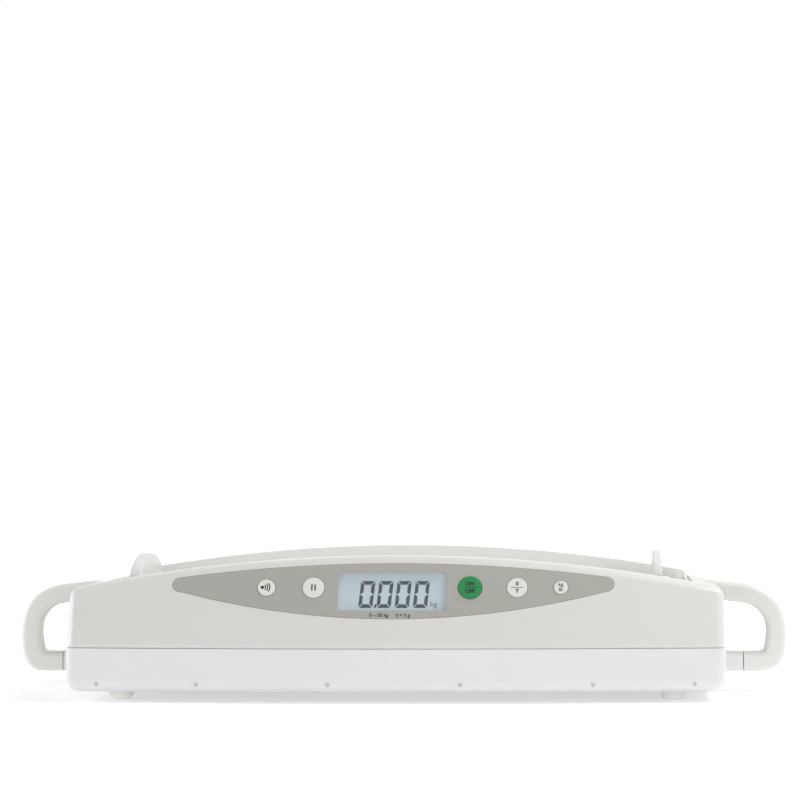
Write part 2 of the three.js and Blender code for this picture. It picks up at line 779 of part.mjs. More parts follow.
// Lower shell: tub, bosses, pocket and handle stubs, less its holes
const floorTop = undersideHeight + wall;
const lowerTub = lowerBody(0, seamHeight).subtract(lowerBody(wall, seamHeight + cutOverrun));
const pocket = block(
  [batteryX - doorWidth / 2 - pocketMargin, -doorLength / 2 - pocketMargin, undersideHeight],
  [batteryX + doorWidth / 2 + pocketMargin, doorLength / 2 + doorTravel + pocketMargin, pocketTop]);
const standoffPlaces = sides.flatMap((side) => sides.map((end) => [
  mainBoardX + side * (mainBoardLength / 2 - standoffInset), end * (mainBoardWidth / 2 - standoffInset)]));
const stubs = sides.map((side) => handleStub(side).subtract(lowerBody(wall, seamHeight + cutOverrun)));
const dimples = sides.flatMap((side) => dimpleShares.map((share) => {
  const x = share * half;
  const geometry = new THREE.CylinderGeometry(dimpleRadius, dimpleRadius, 2 * dimpleDepth, screwSides);
  geometry.translate(side * x, frontAt(x) - lowerOverhang, undersideHeight + dimpleHeight);
  return solidOf(geometry);
}));
const shellWebTop = seamHeight - seamGap;
let lowerShell = joined([
  lowerTub, pocket, ...stubs,
  ...footPlaces.map(([x, y]) => post(footBossRadius, x, y, floorTop - wall / 2, floorTop + footBossHeight)),
  ...shellScrewPlaces.map(([x, y]) => post(shellBossRadius, x, y, floorTop - wall / 2, shellWebTop)),
  ...standoffPlaces.map(([x, y]) => post(
    standoffRadius, x, y, floorTop - wall / 2, floorTop + standoffHeight, screwSides)),
]);
lowerShell = [
  ...footPlaces.map(([x, y]) => post(screwBoreRadius, x, y, 0, undersideHeight + screwBite, screwSides)),
  ...shellScrewPlaces.map(([x, y]) => post(shellRecessRadius, x, y, 0, shellWebHeight)),
  ...shellScrewPlaces.map(([x, y]) => post(screwBoreRadius, x, y, 0, seamHeight + cutOverrun, screwSides)),
  ...dimples,
  doorPlates(seatGap, 0, doorTravel),
  block(
    [batteryX - packWidth / 2, -packLength / 2, 0],
    [batteryX + packWidth / 2, packLength / 2, pocketTop + cutOverrun]),
].reduce((shell, cut) => shell.subtract(cut), lowerShell);
piece('lower_shell', lowerShell, material(colours.shell, 0.42));

// Upper shell: walls, posts for the shell screws, bosses for the display board, less its openings
const upperBottom = seamHeight + seamGap / 2;
const upperWalls = upperBody(0, upperBottom).subtract(upperBody(wall, seamHeight - cutOverrun));
const screwPosts = shellScrewPlaces.map(([x, y]) => post(
  shellPostRadius, x, y, upperBottom, shoulderZ(x, y - frontY) - wall / 2));
const boardBossEnd = outAt(boardBossX) - wall + smallestRadius;
const boardBosses = sides.map((side) => onFace(facePin(
  boardBossRadius, side * boardBossX, faceHeight, boardOut + seatGap, boardBossEnd)));
let upperShell = joined([upperWalls, ...screwPosts, ...boardBosses]);
const panelRecess = panelPrism(panelGap).intersect(faceSlice(cutOverrun, -panelThickness));
upperShell = [
  trayOpening(), panelRecess, windowHole(), ...keyHoles(),
  onFace(boardRoom(seatGap)), onFace(glassRoom(seatGap)),
  ...shellScrewPlaces.map(([x, y]) => post(
    screwBoreRadius, x, y, seamHeight - cutOverrun, seamHeight + screwBite + wall, screwSides)),
  ...sides.map((side) => onFace(facePin(
    boardScrewRadius + screwClearance, side * boardBossX, faceHeight, boardOut - wall,
    boardOut + boardScrewBite + smallestRadius, screwSides))),
  ...sides.map((side) => handleLoop(side, seatGap)),
].reduce((shell, cut) => shell.subtract(cut), upperShell);
piece('upper_shell', upperShell, material(colours.shell, 0.42));

// Handles
piece('handle_left', handleLoop(-1), material(colours.shell, 0.45));
piece('handle_right', handleLoop(1), material(colours.shell, 0.45));

// Tray with bosses over the buffers
const trayBossBottom = floorHeight - trayWall - trayBossDrop;
const trayBosses = bufferPlaces.map(([x, y]) => post(trayBossRadius, x, y, trayBossBottom, archHeight)
  .intersect(underTray(trayBossBottom - cutOverrun)));
const trayShell = joined([
  loft(trayPlaces.map((x) => ({ x, outline: trayOutline(x) }))), trayEnd(-1), trayEnd(1), ...trayBosses,
]);
piece('tray', trayShell, material(colours.tray, 0.38));

// Control panel, window lens and display
const panel = [windowHole(), ...keyHoles()].reduce((sheet, cut) => sheet.subtract(cut),
  panelPrism(0).intersect(faceSlice(panelProud, panelGap - panelThickness)));
piece('control_panel', panel, material(colours.grey, 0.5));

function facePiece(name, geometry, finish) {
  return piece(name, solidOf(geometry), finish, faceGroup);
}

const lens = windowBlock(
  windowWidth - 2 * panelGap, windowHeight - 2 * panelGap, windowRadius, -lensBack, -lensRecess);
facePiece('lcd_lens', lens, material(colours.lens, 0.12));
facePiece('lcd_glass', glassRoom(0), material(colours.glass, 0.2));
const holderFront = glassBack - seatGap;
const holderFrame = solidOf(windowBlock(
  windowWidth + 2 * glassMargin, windowHeight + 2 * glassMargin, windowRadius, boardOut + seatGap, holderFront))
  .subtract(solidOf(windowBlock(
    windowWidth + 2 * (glassMargin - holderBar), windowHeight + 2 * (glassMargin - holderBar), windowRadius,
    boardOut - cutOverrun, holderFront + cutOverrun)));
piece('lcd_holder', holderFrame, material(colours.dark, 0.6), faceGroup);

const boardHoles = sides.map((side) => solidOf(facePin(
  boardScrewRadius + screwClearance, side * boardBossX, faceHeight, boardOut - wall, boardOut + wall,
  screwSides)));
piece('display_board', boardHoles.reduce((board, cut) => board.subtract(cut), solidOf(boardRoom(0))),
  material(colours.board, 0.55), faceGroup);

sides.forEach((side, i) => {
  const headTop = boardOut - boardThickness - seatGap;
  const headBottom = headTop - boardScrewHead;
  const tip = boardOut + boardScrewBite;
  const screw = turned([
    [0, headBottom], [boardScrewHeadRadius, headBottom], [boardScrewHeadRadius, headTop],
    [boardScrewRadius, headTop], [boardScrewRadius, tip], [0, tip]], screwSides);
  const mesh = piece(`board_screw_${i + 1}`, screw, material(colours.steel, 0.3, 1), faceGroup);
  mesh.position.set(side * boardBossX, upSlope(boardBossX, faceHeight), 0);
});

// Keys in their holes, with a flange behind the face and a stem towards the switch
for (const { name, x, radius, colour } of keys) {
  const surface = outAt(x);
  const slope = (2 * frontBow * Math.abs(x)) / half ** 2;
  const flangeRadius = radius + keyFlange;
  const flangeFront = surface - wall - slope * flangeRadius - seatGap;
  const flangeBack = flangeFront - keyFlangeThickness;
  const plungerTop = boardOut + seatGap + switchHeight + plungerHeight;
  const stemEnd = plungerTop + keyTravel + seatGap;
  const top = surface + keyProud;
  const cap = turned([
    [0, stemEnd], [keyStemRadius, stemEnd], [keyStemRadius, flangeBack], [flangeRadius, flangeBack],
    [flangeRadius, flangeFront], [radius, flangeFront], [radius, top - keyEdge],
    [radius - keyEdge * (1 - Math.cos(quarter / 2)), top - keyEdge * (1 - Math.sin(quarter / 2))],
    [radius - keyEdge, top], [0, top]]);
  const mesh = piece(`key_${name}`, cap, material(colour, 0.4), faceGroup);
  mesh.position.set(x, upSlope(x, faceHeight), 0);

  const base = boardOut + seatGap;
  const body = block(
    [-switchWidth / 2, -switchWidth / 2, base], [switchWidth / 2, switchWidth / 2, base + switchHeight]);
  const plunger = post(plungerRadius, 0, 0, base + switchHeight / 2, plungerTop, screwSides);
  const tact = piece(`switch_${name}`, body.add(plunger), material(colours.dark, 0.5), faceGroup);
  tact.position.set(x, upSlope(x, faceHeight), 0);
}

// Load cell on its base, fixed at the left end and carrying the tray at the right end
const baseBottom = floorTop + seatGap;
const baseTop = baseBottom + cellBaseHeight;
const cellBottom = baseTop + seatGap;
const cellTop = cellBottom + cellHeight;
const cellBoltReach = cellBaseLength / 2 - cellBoltFromEnd;
const fixedBolts = sides.map((side) => (cellBaseLength - cellLength) / 2 + side * cellBoltReach);
const freeBolts = fixedBolts.map((x) => -x);
const boltHole = cellBoltRadius + screwClearance;
const slotPins = sides.map((side) => {
  const geometry = new THREE.CylinderGeometry(cellSlotRadius, cellSlotRadius, 2 * cellWidth, roundSides);
  geometry.translate(side * cellSlotSpread, 0, (cellBottom + cellTop) / 2);
  return solidOf(geometry);
});
const cellMiddle = (cellBottom + cellTop) / 2;
const loadCell = [
  ...slotPins,
  block(
    [-cellSlotSpread, -cellWidth, cellMiddle - cellSlotNeck],
    [cellSlotSpread, cellWidth, cellMiddle + cellSlotNeck]),
  ...[...fixedBolts, ...freeBolts].map((x) => post(
    boltHole, x, 0, cellBottom - wall, cellTop + wall, screwSides)),
  ...fixedBolts.map((x) => post(
    cellBoltHeadRadius + screwClearance, x, 0, cellTop - cellBoltSink, cellTop + wall)),
].reduce((cell, cut) => cell.subtract(cut),
  block([-cellLength / 2, -cellWidth / 2, cellBottom], [cellLength / 2, cellWidth / 2, cellTop]));
piece('load_cell', loadCell, material(colours.aluminium, 0.35, 1));

const cellBase = fixedBolts.reduce((base, x) => base.subtract(
  post(boltHole, x, 0, baseBottom + wall / 2, baseTop + wall, screwSides)),
block(
  [-cellLength / 2, -cellWidth / 2, baseBottom],
  [cellBaseLength - cellLength / 2, cellWidth / 2, baseTop]));
piece('cell_base', cellBase, material(colours.steel, 0.4, 1));

fixedBolts.forEach((x, i) => {
  const headBottom = cellTop - cellBoltSink + seatGap;
  const headTop = headBottom + cellBoltHead;
  const tip = baseBottom + wall / 2 + seatGap;
  const bolt = turned([[0, tip], [cellBoltRadius, tip], [cellBoltRadius, headBottom],
    [cellBoltHeadRadius, headBottom], [cellBoltHeadRadius, headTop], [0, headTop]], screwSides);
  piece(`base_bolt_${i + 1}`, bolt, material(colours.steel, 0.3, 1)).position.set(x, 0, 0);
});

// Carrier: a spine and two cross bars over the cell, with a post and a rubber buffer at each corner
const carrierBottom = cellTop + trayTravel + carrierGap;
const carrierTop = carrierBottom + carrierThickness;
const bufferTop = trayBossBottom - seatGap;
const bufferBottom = bufferTop - bufferThickness;
const postTop = bufferBottom - seatGap;
const carrierBody = joined([
  block([-bufferX, -carrierSpineWidth / 2, carrierBottom], [bufferX, carrierSpineWidth / 2, carrierTop]),
  ...sides.map((side) => block(
    [side * bufferX - carrierBarWidth / 2, -bufferY - carrierBarWidth / 2, carrierBottom],
    [side * bufferX + carrierBarWidth / 2, bufferY + carrierBarWidth / 2, carrierTop])),
  ...bufferPlaces.map(([x, y]) => post(carrierPostRadius, x, y, carrierTop - carrierThickness / 2, postTop)),
]);
const carrier = freeBolts.reduce((body, x) => body.subtract(
  post(boltHole, x, 0, carrierBottom - wall, carrierTop - smallestRadius, screwSides)), carrierBody);
piece('tray_carrier', carrier, material(colours.steel, 0.4, 1));

freeBolts.forEach((x, i) => {
  const headTop = cellBottom - seatGap;
  const headBottom = headTop - cellBoltHead;
  const tip = carrierTop - smallestRadius - seatGap;
  const bolt = turned([[0, headBottom], [cellBoltHeadRadius, headBottom], [cellBoltHeadRadius, headTop],
    [cellBoltRadius, headTop], [cellBoltRadius, tip], [0, tip]], screwSides);
  piece(`carrier_bolt_${i + 1}`, bolt, material(colours.steel, 0.3, 1)).position.set(x, 0, 0);
});

bufferPlaces.forEach(([x, y], i) => {
  piece(`tray_buffer_${i + 1}`, post(bufferRadius, x, y, bufferBottom, bufferTop), material(colours.dark, 0.9));
});

// Batteries in their box over the pocket, and the sliding door under them
const batteryCentre = batteryBottom + batteryRadius;
const boxTop = batteryCentre + batteryRadius + boxGap + boxWall;
const boxBottom = pocketTop + seatGap;
const batteryBox = block(
  [batteryX - packWidth / 2 - boxWall, -packLength / 2 - boxWall, boxBottom],
  [batteryX + packWidth / 2 + boxWall, packLength / 2 + boxWall, boxTop]).subtract(block(
  [batteryX - packWidth / 2, -packLength / 2, boxBottom - cutOverrun],
  [batteryX + packWidth / 2, packLength / 2, boxTop - boxWall]));
piece('battery_box', batteryBox, material(colours.dark, 0.6));
for (let i = 0; i < batteryCount; i += 1) {
  const cell = turned([
    [0, -batteryLength / 2], [batteryRadius, -batteryLength / 2], [batteryRadius, batteryLength / 2],
    [batteryTipRadius, batteryLength / 2], [batteryTipRadius, batteryLength / 2 + batteryTip],
    [0, batteryLength / 2 + batteryTip]]);
  const mesh = piece(`battery_${i + 1}`, cell, material(colours.battery, 0.4, 0.3));
  const facing = i % 2 ? 1 : -1;
  mesh.rotation.x = facing * quarter;
  const across = cellSpacing * (i - (batteryCount - 1) / 2);
  mesh.position.set(batteryX + across, (facing * batteryTip) / 2, batteryCentre);
}

const grips = [-1, 0, 1].map((step) => {
  const y = -doorLength / 2 + 2 * doorCover + step * doorGripStep;
  return block([batteryX - doorGripWidth / 2, y, 0],
    [batteryX + doorGripWidth / 2, y + doorGripStep / 2, undersideHeight + doorGripDepth]);
});
piece('battery_door', grips.reduce((door, cut) => door.subtract(cut), doorPlates(0, undersideHeight, 0)),
  material(colours.shell, 0.5));

// Main board on its standoffs, with the sounder
const mainBoardBottom = floorTop + standoffHeight + seatGap;
const mainBoardTop = mainBoardBottom + boardThickness;
piece('main_board', block(
  [mainBoardX - mainBoardLength / 2, -mainBoardWidth / 2, mainBoardBottom],
  [mainBoardX + mainBoardLength / 2, mainBoardWidth / 2, mainBoardTop]), material(colours.board, 0.55));
const buzzerBottom = mainBoardTop + seatGap;
piece('buzzer', post(buzzerRadius, mainBoardX, 0, buzzerBottom, buzzerBottom + buzzerHeight),
  material(colours.dark, 0.5));

// Screws from below through the lower shell into the posts of the upper one
function screwUp(headTop, tip) {
  const headBottom = headTop - screwHead;
  return turned([
    [0, headBottom], [screwHeadRadius, headBottom], [screwHeadRadius, headTop],
    [screwRadius, headTop], [screwRadius, tip], [0, tip]], screwSides);
}
shellScrewPlaces.forEach(([x, y], i) => {
  const screw = screwUp(shellWebHeight - seatGap, seamHeight + screwBite);
  piece(`shell_screw_${i + 1}`, screw, material(colours.steel, 0.3, 1)).position.set(x, y, 0);
});

// Feet and their screws
footPlaces.forEach(([x, y], i) => {
  const top = undersideHeight - seatGap;
  const foot = turned([
    [screwBoreRadius, top], [footRadius, top],
    ...arc([footRadius - footEdge, footEdge], footEdge, 0, -quarter, endSteps),
    [footRecessRadius, 0], [footRecessRadius, footRecessDepth],
    [screwBoreRadius, footRecessDepth], [screwBoreRadius, top],
  ]);
  piece(`foot_${i + 1}`, foot, material(colours.rubber, 0.8)).position.set(x, y, 0);
  const screw = screwUp(footRecessDepth - seatGap, undersideHeight + screwBite - seatGap);
  piece(`foot_screw_${i + 1}`, screw, material(colours.steel, 0.3, 1)).position.set(x, y, 0);
});

// Measuring rail on the ledge, a T in section
const carriageWidth = railHeadWidth + 2 * carriageWall;
const railY = ledgeBack - carriageFromWall - carriageWidth / 2;
const railBottom = ledgeHeight + seatGap;
const railNeck = railBottom + railFootHeight;
const railTop = railNeck + railHeadHeight;
const railStations = (grow, length, bottom) => [-length / 2, length / 2].map((x) => ({
  x,
  outline: [
    [railY - railFootWidth / 2 - grow, bottom], [railY + railFootWidth / 2 + grow, bottom],
    [railY + railFootWidth / 2 + grow, railNeck - grow], [railY + railHeadWidth / 2 + grow, railNeck - grow],
    [railY + railHeadWidth / 2 + grow, railTop + grow], [railY - railHeadWidth / 2 - grow, railTop + grow],
    [railY - railHeadWidth / 2 - grow, railNeck - grow], [railY - railFootWidth / 2 - grow, railNeck - grow],
  ],
}));
piece('measuring_rail', loft(railStations(0, railLength, railBottom)), material(colours.tray, 0.4));

// End plates: a low dome above the cradle, on a carriage that clasps the rail
function endPlate(thickness, fromRailEnd, domeRise, side) {
  const face = railLength / 2 - fromRailEnd;
  const start = floorY - stopFrontFromFloor;
  const carriageFront = railY - carriageWidth / 2;
  const end = carriageFront + carriageWall - runnerGap;
  const domeY = (start + end) / 2;
  const domeReach = (end - start) / 2 + domeEase;
  const domeBase = ledgeHeight + domeAboveLedge;
  const top = [];
  const bottom = [];
  for (let i = 0; i <= archSteps; i += 1) {
    const y = start + ((end - start) * i) / archSteps;
    top.push([y, domeBase + domeRise * Math.sqrt(1 - ((y - domeY) / domeReach) ** 2)]);
    bottom.push([y, cradleZ(0, y) + stopClearance]);
  }
  const outline = [...top, ...bottom.toReversed()];
  const middleZ = (domeBase + domeRise + floorHeight) / 2;
  const shrunk = ([y, z]) => [
    y - Math.sign(y - domeY) * stopBevel * Math.min(Math.abs(y - domeY) / domeReach, 1),
    z - (z > middleZ ? stopBevel : 0)];
  const inner = side * face;
  const outer = side * (face + thickness);
  const between = (share) => inner + (outer - inner) * share;
  const bevelShare = stopBevel / thickness;
  const stations = [
    { x: between(0), outline: outline.map(shrunk) }, { x: between(bevelShare), outline },
    { x: between(1 - bevelShare), outline }, { x: between(1), outline: outline.map(shrunk) }];
  const plate = loft(side > 0 ? stations : stations.toReversed());
  const centre = side * (face + thickness / 2);
  const carriage = block(
    [centre - carriageLength / 2, carriageFront, ledgeHeight + seatGap + runnerGap],
    [centre + carriageLength / 2, railY + carriageWidth / 2, railTop + carriageRise])
    .subtract(loft(railStations(runnerGap, railLength + casingWidth, ledgeHeight)));
  return plate.add(carriage);
}
piece('head_stop', endPlate(headStopThickness, headStopFromRailEnd, headDomeRise, -1),
  material(colours.tray, 0.4));
piece('foot_stop', endPlate(footStopThickness, footStopFromRailEnd, footDomeRise, 1),
  material(colours.tray, 0.4));

export default scale;
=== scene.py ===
"""A digital baby weighing scale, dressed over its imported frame. Metres, +X right, +Y away, +Z up."""

from math import atan2, cos, pi, radians, sin, sqrt, tan

import bpy
from mathutils import Matrix, Vector


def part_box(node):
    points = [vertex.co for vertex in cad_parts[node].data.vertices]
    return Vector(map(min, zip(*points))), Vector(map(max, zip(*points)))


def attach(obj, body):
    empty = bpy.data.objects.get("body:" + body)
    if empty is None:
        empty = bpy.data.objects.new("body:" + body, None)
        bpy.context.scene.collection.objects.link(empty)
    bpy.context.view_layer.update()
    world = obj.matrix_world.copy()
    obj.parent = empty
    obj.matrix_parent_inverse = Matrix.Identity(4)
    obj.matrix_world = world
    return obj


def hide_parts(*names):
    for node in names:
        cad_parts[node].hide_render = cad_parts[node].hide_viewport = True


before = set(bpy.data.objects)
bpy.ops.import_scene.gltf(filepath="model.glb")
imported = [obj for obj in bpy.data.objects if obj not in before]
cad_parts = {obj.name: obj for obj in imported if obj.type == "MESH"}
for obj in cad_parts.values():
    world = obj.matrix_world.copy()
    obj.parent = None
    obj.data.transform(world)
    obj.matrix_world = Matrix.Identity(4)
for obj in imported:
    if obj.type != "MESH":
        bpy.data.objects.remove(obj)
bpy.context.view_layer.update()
bpy.ops.object.select_all(action="DESELECT")

# Camera: far in front of the scale and a little to its right, looking at it almost level
# through a long lens, so that the picture is nearly without perspective.
camera_place, camera_turn = (0.1616, -3.665, 0.2461), (90.054, 0.13, 2.549)
lens_length, sensor_width, far_limit = 192.06, 36, 60
bpy.ops.object.camera_add(location=camera_place, rotation=[radians(turn) for turn in camera_turn])
camera = bpy.context.object
camera.data.sensor_width, camera.data.lens, camera.data.clip_end = sensor_width, lens_length, far_limit
bpy.context.scene.camera = camera

# Studio: a pale table top lit softly from below as well, in white surroundings, with the main soft lamp
# overhead to the right and weaker ones behind, to the right, low in front and to the left. The table is
# lifted to white for the eye alone, and keeps the shadow under the scale.
bpy.context.scene.view_settings.view_transform = "Standard"


def tone(red, green, blue):
    """A colour read as 0 to 255 on a screen, as the linear colour that a shader takes"""
    def linear(value):
        share = value / 255
        return share / 12.92 if share <= 0.04045 else ((share + 0.055) / 1.055) ** 2.4
    return (linear(red), linear(green), linear(blue), 1)


def feed(tree, node, values):
    """Sets inputs of a node, each to a plain value or by a link from another node's output"""
    for socket, value in values.items():
        if isinstance(value, bpy.types.NodeSocket):
            tree.links.new(value, node.inputs[socket])
        else:
            node.inputs[socket].default_value = value
    return node


def add_node(tree, kind, values=None, **settings):
    node = tree.nodes.new("ShaderNode" + kind)
    for setting, value in settings.items():
        setattr(node, setting, value)
    return feed(tree, node, values or {})


def new_finish(name):
    """A new material with its nodes and its shader"""
    finish = bpy.data.materials.new(name)
    finish.use_nodes = True
    return finish, finish.node_tree, finish.node_tree.nodes["Principled BSDF"]


def seen_directly(tree):
    """One where the eye, a reflection or a view through something clear looks at the surface"""
    ray = add_node(tree, "LightPath").outputs
    seen = add_node(tree, "Math", {0: ray["Is Camera Ray"], 1: ray["Is Glossy Ray"]}, operation="MAXIMUM")
    return add_node(
        tree, "Math", {0: seen.outputs[0], 1: ray["Is Transmission Ray"]}, operation="MAXIMUM").outputs[0]


surroundings = 0.33
world = bpy.context.scene.world = bpy.data.worlds.new("studio")
world.use_nodes = True
tree = world.node_tree
lighting = feed(tree, tree.nodes["Background"], {"Color": tone(250, 250, 252), "Strength": surroundings})
shown = add_node(tree, "Background", {"Color": (1, 1, 1, 1), "Strength": 1})
sky = add_node(tree, "MixShader", {0: seen_directly(tree), 1: lighting.outputs[0], 2: shown.outputs[0]})
feed(tree, tree.nodes["World Output"], {0: sky.outputs[0]})

table_size, table_glow, near_lift, far_lift = 30, 0.24, 0.08, 0.8
near_distance, far_distance = 0.5, 2.5
bpy.ops.mesh.primitive_plane_add(size=table_size, location=(0, 0, 0))
table = bpy.context.object
table.name = "table_top"
table_white, tree, paint = new_finish("table_white")
feed(tree, paint, {"Base Color": tone(242, 243, 245), "Roughness": 0.9})
away = add_node(tree, "VectorMath", {0: add_node(tree, "TexCoord").outputs["Object"]}, operation="LENGTH")
lift_strength = add_node(tree, "MapRange", {
    "Value": away.outputs["Value"], "From Min": near_distance, "From Max": far_distance,
    "To Min": near_lift, "To Max": far_lift})
for_the_eye = add_node(tree, "Math", {
    0: seen_directly(tree), 1: lift_strength.outputs["Result"], 2: table_glow}, operation="MULTIPLY_ADD")
lift = add_node(tree, "Emission", {"Color": tone(252, 253, 255), "Strength": for_the_eye.outputs[0]})
lifted = add_node(tree, "AddShader", {0: paint.outputs[0], 1: lift.outputs[0]})
feed(tree, tree.nodes["Material Output"], {0: lifted.outputs[0]})
table.data.materials.append(table_white)

# Each lamp's place, the point it faces, its width and height, and its power in watts
soft_lamps = {
    "overhead": ((1.3, 0.1, 1.9), (0.1, 0, 0.1), (1.2, 1.4), 32),
    "behind": ((0.4, 1.5, 1.2), (0, 0, 0.1), (2.0, 0.5), 4),
    "right": ((1.5, -1.5, 0.5), (0.15, 0, 0.06), (1.0, 0.9), 4.2),
    "low": ((0, -2.2, 0.2), (0, 0, 0.04), (2.4, 0.36), 6),
    "left_front": ((-1.6, -1.9, 0.35), (0, 0, 0.05), (1.0, 0.6), 2.2),
    "left": ((-2.1, 0.15, 0.7), (-0.2, 0, 0.06), (1.2, 1.1), 19),
}
for name, (place, target, size, power) in soft_lamps.items():
    bpy.ops.object.light_add(type="AREA", location=place)
    lamp = bpy.context.object
    lamp.name = "lamp_" + name
    lamp.data.shape = "RECTANGLE"
    lamp.data.size, lamp.data.size_y = size
    lamp.data.energy = power
    lamp.rotation_euler = (Vector(target) - Vector(place)).to_track_quat("-Z", "Y").to_euler()

# Upper casing. One moulding in white ABS, satin on the outside: its front bows out and leans back,
# its arched rim is rolled over into the top, and the end shoulders fall a little to the rear.
# It is screwed to the lower casing from below.
casing_low, casing_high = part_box("upper_shell")
half_width = casing_high.x
front_y, rear_y = casing_low.y, casing_high.y
seam_height, rim_height = casing_low.z, casing_high.z
front_bow, rear_bow = 0.019, 0.004
rim_drop, shoulder_drop = 0.0274, 0.0045
lean, lean_start = radians(25), 0.048
rim_radius, rear_radius, end_radius, bend_radius = 0.011, 0.0085, 0.0065, 0.003
casing_wall, seam_edge, finest_radius, round_steps = 0.003, 0.0005, 0.0006, 8
overlap, overcut = 0.001, 0.01  # how far a joined or a cutting shape reaches past a surface


def share_out(x):
    return (x / half_width) ** 2


def front_at(x):
    return front_y + front_bow * share_out(x)


def rear_at(x):
    return rear_y - rear_bow * share_out(x)


def rim_at(x):
    return rim_height - rim_drop * share_out(x)


def face_y(x, height):
    return front_at(x) + (height - lean_start) * tan(lean)


def places_along(length, radius, steps=60, end_steps=8):
    """Places along X, evenly spread, and closer together where the ends round off"""
    inner = length / 2 - radius
    ends = [inner + radius * sin(pi / 2 * i / end_steps) for i in range(1, end_steps + 1)]
    middle = [-inner + 2 * inner * i / steps for i in range(steps + 1)]
    return [-x for x in reversed(ends)] + middle + ends


def drawn_in(x, length, radius):
    """How far an edge has drawn in at x, where the ends of the length are rounded"""
    past = min(max(abs(x) - (length / 2 - radius), 0), radius)
    return radius - sqrt(radius ** 2 - past ** 2)


def filleted(corners, steps=6):
    """A closed outline from corners as (a, b), or with a radius and extra points on the edge that follows"""
    corners = [(*corner, 0, 0)[:4] for corner in corners]
    rounded = []
    for i, (a, b, radius, _) in enumerate(corners):
        here = Vector((a, b))
        back = (Vector(corners[i - 1][:2]) - here).normalized()
        ahead = (Vector(corners[(i + 1) % len(corners)][:2]) - here).normalized()
        if radius <= 0 or back.angle(ahead) > pi - 1e-4:
            rounded.append([here] * (steps + 1 if radius > 0 else 1))
            continue
        opening = back.angle(ahead) / 2
        reach = radius / tan(opening)
        centre = here + (back + ahead).normalized() * (radius / sin(opening))
        first, last = here + back * reach - centre, here + ahead * reach - centre
        start = atan2(first.y, first.x)
        sweep = (atan2(last.y, last.x) - start + pi) % (2 * pi) - pi
        rounded.append([
            centre + radius * Vector((cos(start + sweep * k / steps), sin(start + sweep * k / steps)))
            for k in range(steps + 1)])
    outline = []
    for i, points in enumerate(rounded):
        outline += points
        start, end = points[-1], rounded[(i + 1) % len(rounded)][0]
        extra = corners[i][3]
        outline += [start.lerp(end, k / (extra + 1)) for k in range(1, extra + 1)]
    return outline


def skin(rows):
    """A closed skin: a grid bent round to rows of points, its seam merged and its two ends filled"""
    count = len(rows[0])
    bpy.ops.mesh.primitive_grid_add(x_subdivisions=count, y_subdivisions=len(rows) - 1, size=1)
    made = bpy.context.object
    places = [axis for row in rows for point in [*row, row[0]] for axis in point]
    made.data.vertices.foreach_set("co", places)
    bpy.ops.object.mode_set(mode="EDIT")
    bpy.ops.mesh.select_all(action="SELECT")
    bpy.ops.mesh.remove_doubles(threshold=2e-6)
    bpy.ops.mesh.fill_holes(sides=0)
    bpy.ops.mesh.select_all(action="SELECT")
    bpy.ops.mesh.normals_make_consistent(inside=False)
    bpy.ops.object.mode_set(mode="OBJECT")
    return made


def combine(piece, tool, operation="DIFFERENCE"):
    """Cuts the tool out of the piece, or joins it on, and removes the tool"""
    change = piece.modifiers.new("change", "BOOLEAN")
    change.operation, change.solver, change.object = operation, "MANIFOLD", tool
    bpy.context.view_layer.objects.active = piece
    bpy.ops.object.modifier_apply(modifier="change")
    bpy.data.objects.remove(tool, do_unlink=True)
    return piece


def select_only(*pieces):
    bpy.ops.object.select_all(action="DESELECT")
    for piece in pieces:
        piece.select_set(True)
    bpy.context.view_layer.objects.active = pieces[0]


def finish_piece(piece, name, finish, body, slot, *replaced, angle=32):
    """Smooths the piece, gives it its material, hangs it on its body's empty and hides the imported parts it
    takes the place of
    """
    select_only(piece)
    bpy.ops.object.shade_smooth_by_angle(angle=radians(angle))
    piece.name = piece.data.name = name
    piece.data.materials.clear()
    piece.data.materials.append(finish)
    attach(piece, body)
    if replaced:
        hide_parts(*replaced)


def moulded(name, colour, roughness, grain=0.0005, depth=0.00001, mottle=0.012, coat=0.0, metallic=0.0):
    """Moulded or painted stuff: fine eroded grain, faint clouding of the colour and uneven gloss"""
    grains_in_a_cloud, gloss_spread, coat_roughness = 90, 0.1, 0.12
    finish, tree, shader = new_finish(name)
    place = add_node(tree, "TexCoord").outputs["Object"]
    clouds = add_node(
        tree, "TexNoise", {"Scale": 1 / (grain * grains_in_a_cloud), "Detail": 3, "Vector": place})
    darker, lighter = ([min(channel * (1 + by), 1) for channel in tone(*colour)] for by in (-mottle, mottle))
    darker[3] = 1
    shades = add_node(
        tree, "Mix", {"A": darker, "B": lighter, "Factor": clouds.outputs["Fac"]}, data_type="RGBA")
    speckle = add_node(tree, "TexNoise", {"Scale": 1 / grain, "Detail": 2, "Vector": place}).outputs["Fac"]
    gloss = add_node(tree, "MapRange", {
        "Value": speckle, "To Min": roughness * (1 - gloss_spread), "To Max": roughness * (1 + gloss_spread)})
    bump = add_node(tree, "Bump", {"Strength": 1, "Distance": depth, "Height": speckle})
    feed(tree, shader, {
        "Metallic": metallic, "Coat Weight": coat, "Coat Roughness": coat_roughness,
        "Base Color": shades.outputs["Result"], "Roughness": gloss.outputs["Result"],
        "Normal": bump.outputs["Normal"]})
    return finish


# Its white is a little darker than the lower casing's, though the ABS is the same: painted shade on the
# leaning face.
shell_white_painted_shade = moulded("shell_white_painted_shade", (224, 222, 218), 0.36)


